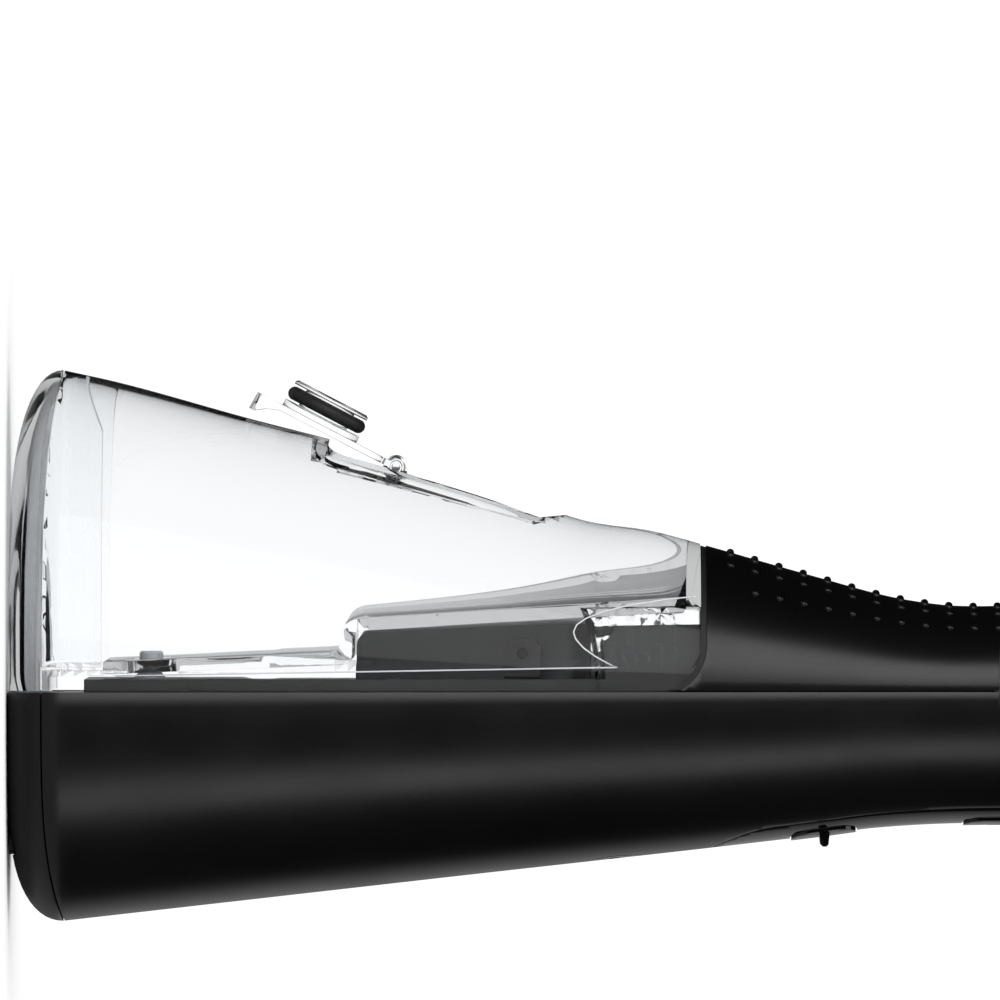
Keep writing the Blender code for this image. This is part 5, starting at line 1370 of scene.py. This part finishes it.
def make_tip():
    stem_low = HANDLE_TOP - 10.5
    collar = HANDLE_TOP + 0.6 + KNOB_HEIGHT + GAP
    rise = collar - stem_low
    stem = [(0, rise + 6.4), (2.2, rise + 6.4), (2.6, rise + 6.2), (3.4, rise + 5.0)]
    stem += [(3.4, rise + 1.6), (5.1, rise + 1.6), (5.4, rise + 1.3), (5.4, rise + 0.2)]
    stem += [(5.2, rise), (TIP_RADIUS, rise), (TIP_RADIUS, 0.4), (TIP_RADIUS - 0.4, 0), (0, 0)]
    tip = turned("jet_tip", stem, (0, HEAD_Y, stem_low))
    above = (BEND_RADIUS + JET_RADIUS) * math.sin(BEND) + JET_LENGTH * math.cos(BEND)
    bend_z = LENGTH - above
    start = collar + 5.4
    points = [(0, HEAD_Y, mix(start, bend_z, i / 20)) for i in range(21)]
    radii = [mix(2.5, 1.6, i / 20) for i in range(21)]
    for i in range(1, 21):
        angle = BEND * i / 20
        drop = BEND_RADIUS * (1 - math.cos(angle))
        points.append((0, HEAD_Y - drop, bend_z + BEND_RADIUS * math.sin(angle)))
        radii.append(mix(1.6, JET_RADIUS + 0.1, i / 20))
    along = Vector((0, -math.sin(BEND), math.cos(BEND)))
    end = Vector(points[-1]) + along * JET_LENGTH
    points += [tuple(end - along * 0.3), tuple(end)]
    radii += [JET_RADIUS, JET_RADIUS - 0.15]
    join(tip, tube("tip_shaft", points, radii))
    bore = [(0, HEAD_Y, stem_low - 2), *points[:-1], tuple(end + along)]
    cut(tip, tube("tip_bore", bore, [0.6] * len(bore), 16))
    finish(tip, "tip", "tank_clear", "tip")
    wall = [(3.7, 2.4), (4.4, 2.4), (4.6, 2.2), (4.6, 0.2), (4.4, 0), (3.7, 0)]
    band = turned("colour_band", wall, (0, HEAD_Y, collar + 1.6 + GAP), closed=True)
    finish(band, "tip", "band_blue", "tip_band")


class FLOSSER_OT_head(bpy.types.Operator):
    """Makes the turning collar and the jet tip with its colour band"""

    bl_idname = "flosser.head"
    bl_label = "Head"

    def execute(self, context):
        make_knob()
        make_tip()
        return {"FINISHED"}


# ---- Inner works --------------------------------------------------------------------------------
INNER_FINISHES = {
    "bright_steel": "charge_magnet motor motor_shaft crank_axle pressure_switch power_switch eject_spring",
    "turned_brass": "motor_pinion",
    "key_grey": "motor_mount pump_cylinder pump_head cell_cradle tip_socket",
    "white_nylon": "crank_gear connecting_rod piston eject_fork",
    "black_rubber": "piston_seal outlet_valve inlet_valve knob_o_ring",
    "cell_film": "cell_left cell_right",
    "solder_mask": "circuit_board",
    "lamp_resin": "indicator_lamp",
    "clear_tube": "intake_tube outlet_tube",
}


class FLOSSER_OT_inner_works(bpy.types.Operator):
    """Gives the drive, pump, cells and board inside the handle their materials"""

    bl_idname = "flosser.inner_works"
    bl_label = "Inner works"

    def execute(self, context):
        for material, nodes in INNER_FINISHES.items():
            for node in nodes.split():
                slots = frame["nodes"][node].data.materials
                slots.clear()
                slots.append(bpy.data.materials[material])
        return {"FINISHED"}


# ---- Stage --------------------------------------------------------------------------------------
AIM = Vector((0, 0.02697, 0.0909))
VIEW_WIDTH = 0.1854
CAMERA_DISTANCE = 5.0
SENSOR = 36.0
FLOOR_RADIUS = 0.36


def make_floor():
    bpy.ops.object.select_all(action="DESELECT")
    bpy.ops.mesh.primitive_circle_add(vertices=96, radius=FLOOR_RADIUS, fill_type="NGON")
    floor = made("studio_floor")
    floor.location.z = -0.0002
    material, tree, shader = new_material("studio_paper")
    shader.inputs["Base Color"].default_value = (*bpy.context.scene.flosser_colours.floor, 1)
    shader.inputs["Roughness"].default_value = 0.9
    shader.inputs["Specular IOR Level"].default_value = 0.1
    place = tree.nodes.new("ShaderNodeTexCoord").outputs["Object"]
    reach = tree.nodes.new("ShaderNodeVectorMath")
    reach.operation = "LENGTH"
    tree.links.new(place, reach.inputs[0])
    fade = tree.nodes.new("ShaderNodeMapRange")
    fade.interpolation_type = "SMOOTHSTEP"
    fade.inputs["From Min"].default_value = FLOOR_RADIUS * 0.35
    fade.inputs["From Max"].default_value = FLOOR_RADIUS * 0.97
    fade.inputs["To Min"].default_value = 1.0
    fade.inputs["To Max"].default_value = 0.0
    tree.links.new(reach.outputs["Value"], fade.inputs["Value"])
    tree.links.new(fade.outputs["Result"], shader.inputs["Alpha"])
    floor.data.materials.append(material)


def make_lamp(name, place, size, power):
    """A soft panel that faces the middle of the object and stays out of direct sight."""
    light = bpy.data.lights.new(name, "AREA")
    light.shape = "RECTANGLE"
    light.size, light.size_y = size
    light.energy = power
    lamp = bpy.data.objects.new(name, light)
    lamp.location = place
    middle = Vector((0, 0, 0.12))
    lamp.rotation_euler = (middle - Vector(place)).to_track_quat("-Z", "Y").to_euler()
    lamp.visible_camera = False
    lamp.visible_transmission = False
    bpy.context.scene.collection.objects.link(lamp)


def make_surround():
    """White all round, dark to reflections but for a glow behind and below, and mid grey inside glass."""
    surround = bpy.data.worlds.new("studio")
    bpy.context.scene.world = surround
    surround.use_nodes = True
    surround.cycles.sampling_method = "NONE"
    tree = surround.node_tree
    white = tree.nodes["Background"]
    white.inputs["Color"].default_value = (1, 1, 1, 1)
    white.inputs["Strength"].default_value = 1.08
    reflected = tree.nodes.new("ShaderNodeBackground")
    toward = tree.nodes.new("ShaderNodeVectorMath")
    toward.operation = "DOT_PRODUCT"
    toward.inputs[1].default_value = (0.9, -0.436, 0)
    tree.links.new(tree.nodes.new("ShaderNodeTexCoord").outputs["Generated"], toward.inputs[0])
    glow = tree.nodes.new("ShaderNodeMapRange")
    glow.interpolation_type = "SMOOTHSTEP"
    glow.inputs["From Min"].default_value = 0.8
    glow.inputs["From Max"].default_value = 1.0
    glow.inputs["To Min"].default_value = 0.01
    glow.inputs["To Max"].default_value = 0.5
    tree.links.new(toward.outputs["Value"], glow.inputs["Value"])
    path = tree.nodes.new("ShaderNodeLightPath").outputs
    inside = arithmetic(tree, "MULTIPLY", path["Is Transmission Ray"], 0.75)
    strength = arithmetic(tree, "MAXIMUM", glow.outputs["Result"], inside)
    tree.links.new(strength, reflected.inputs["Strength"])
    mixer = tree.nodes.new("ShaderNodeMixShader")
    reflection = arithmetic(tree, "GREATER_THAN", path["Glossy Depth"], 0.5)
    tree.links.new(reflection, mixer.inputs["Fac"])
    tree.links.new(white.outputs[0], mixer.inputs[1])
    tree.links.new(reflected.outputs[0], mixer.inputs[2])
    tree.links.new(mixer.outputs[0], tree.nodes["World Output"].inputs["Surface"])


def make_camera():
    camera = bpy.data.objects.new("camera", bpy.data.cameras.new("camera"))
    camera.data.sensor_width = SENSOR
    camera.data.lens = SENSOR * CAMERA_DISTANCE / VIEW_WIDTH
    turn = Matrix(((0, 0, -1), (0, 1, 0), (1, 0, 0))).to_4x4()
    camera.matrix_world = Matrix.Translation(AIM - Vector((CAMERA_DISTANCE, 0, 0))) @ turn
    bpy.context.scene.collection.objects.link(camera)
    bpy.context.scene.camera = camera


class FLOSSER_OT_stage(bpy.types.Operator):
    """Makes the pale floor, the soft lamps, the white surround and the camera"""

    bl_idname = "flosser.stage"
    bl_label = "Stage"

    def execute(self, context):
        context.scene.view_settings.view_transform = "Standard"
        make_floor()
        make_surround()
        make_lamp("front_strip", (-0.45, -0.4, 0.12), (0.16, 0.9), 0.75)
        make_lamp("rear_panel", (-0.6, 0.25, 0.15), (0.36, 0.9), 2.7)
        make_lamp("overhead", (-0.15, -0.1, 0.9), (0.5, 0.5), 1.5)
        make_camera()
        return {"FINISHED"}


class FLOSSER_PT_sidebar(bpy.types.Panel):
    """Lists the settings and the steps"""

    bl_label = "Water flosser"
    bl_idname = "FLOSSER_PT_sidebar"
    bl_space_type = "VIEW_3D"
    bl_region_type = "UI"
    bl_category = "Flosser"

    def draw(self, context):
        for settings in (context.scene.flosser_sizes, context.scene.flosser_colours):
            for name in settings.__annotations__:
                self.layout.prop(settings, name)
        for step in STEPS:
            self.layout.operator(step.bl_idname)


STEPS = (
    FLOSSER_OT_materials,
    FLOSSER_OT_handle,
    FLOSSER_OT_controls,
    FLOSSER_OT_tank,
    FLOSSER_OT_deck,
    FLOSSER_OT_head,
    FLOSSER_OT_inner_works,
    FLOSSER_OT_stage,
)
CLASSES = (FlosserSizes, FlosserColours, *STEPS, FLOSSER_PT_sidebar)


def register():
    for each in CLASSES:
        bpy.utils.register_class(each)
    bpy.types.Scene.flosser_sizes = bpy.props.PointerProperty(type=FlosserSizes)
    bpy.types.Scene.flosser_colours = bpy.props.PointerProperty(type=FlosserColours)


def unregister():
    del bpy.types.Scene.flosser_colours
    del bpy.types.Scene.flosser_sizes
    for each in reversed(CLASSES):
        bpy.utils.unregister_class(each)


def main():
    register()
    bpy.ops.flosser.materials()
    bpy.ops.flosser.handle()
    bpy.ops.flosser.controls()
    bpy.ops.flosser.tank()
    bpy.ops.flosser.deck()
    bpy.ops.flosser.head()
    bpy.ops.flosser.inner_works()
    bpy.ops.flosser.stage()


if __name__ == "__main__":
    main()
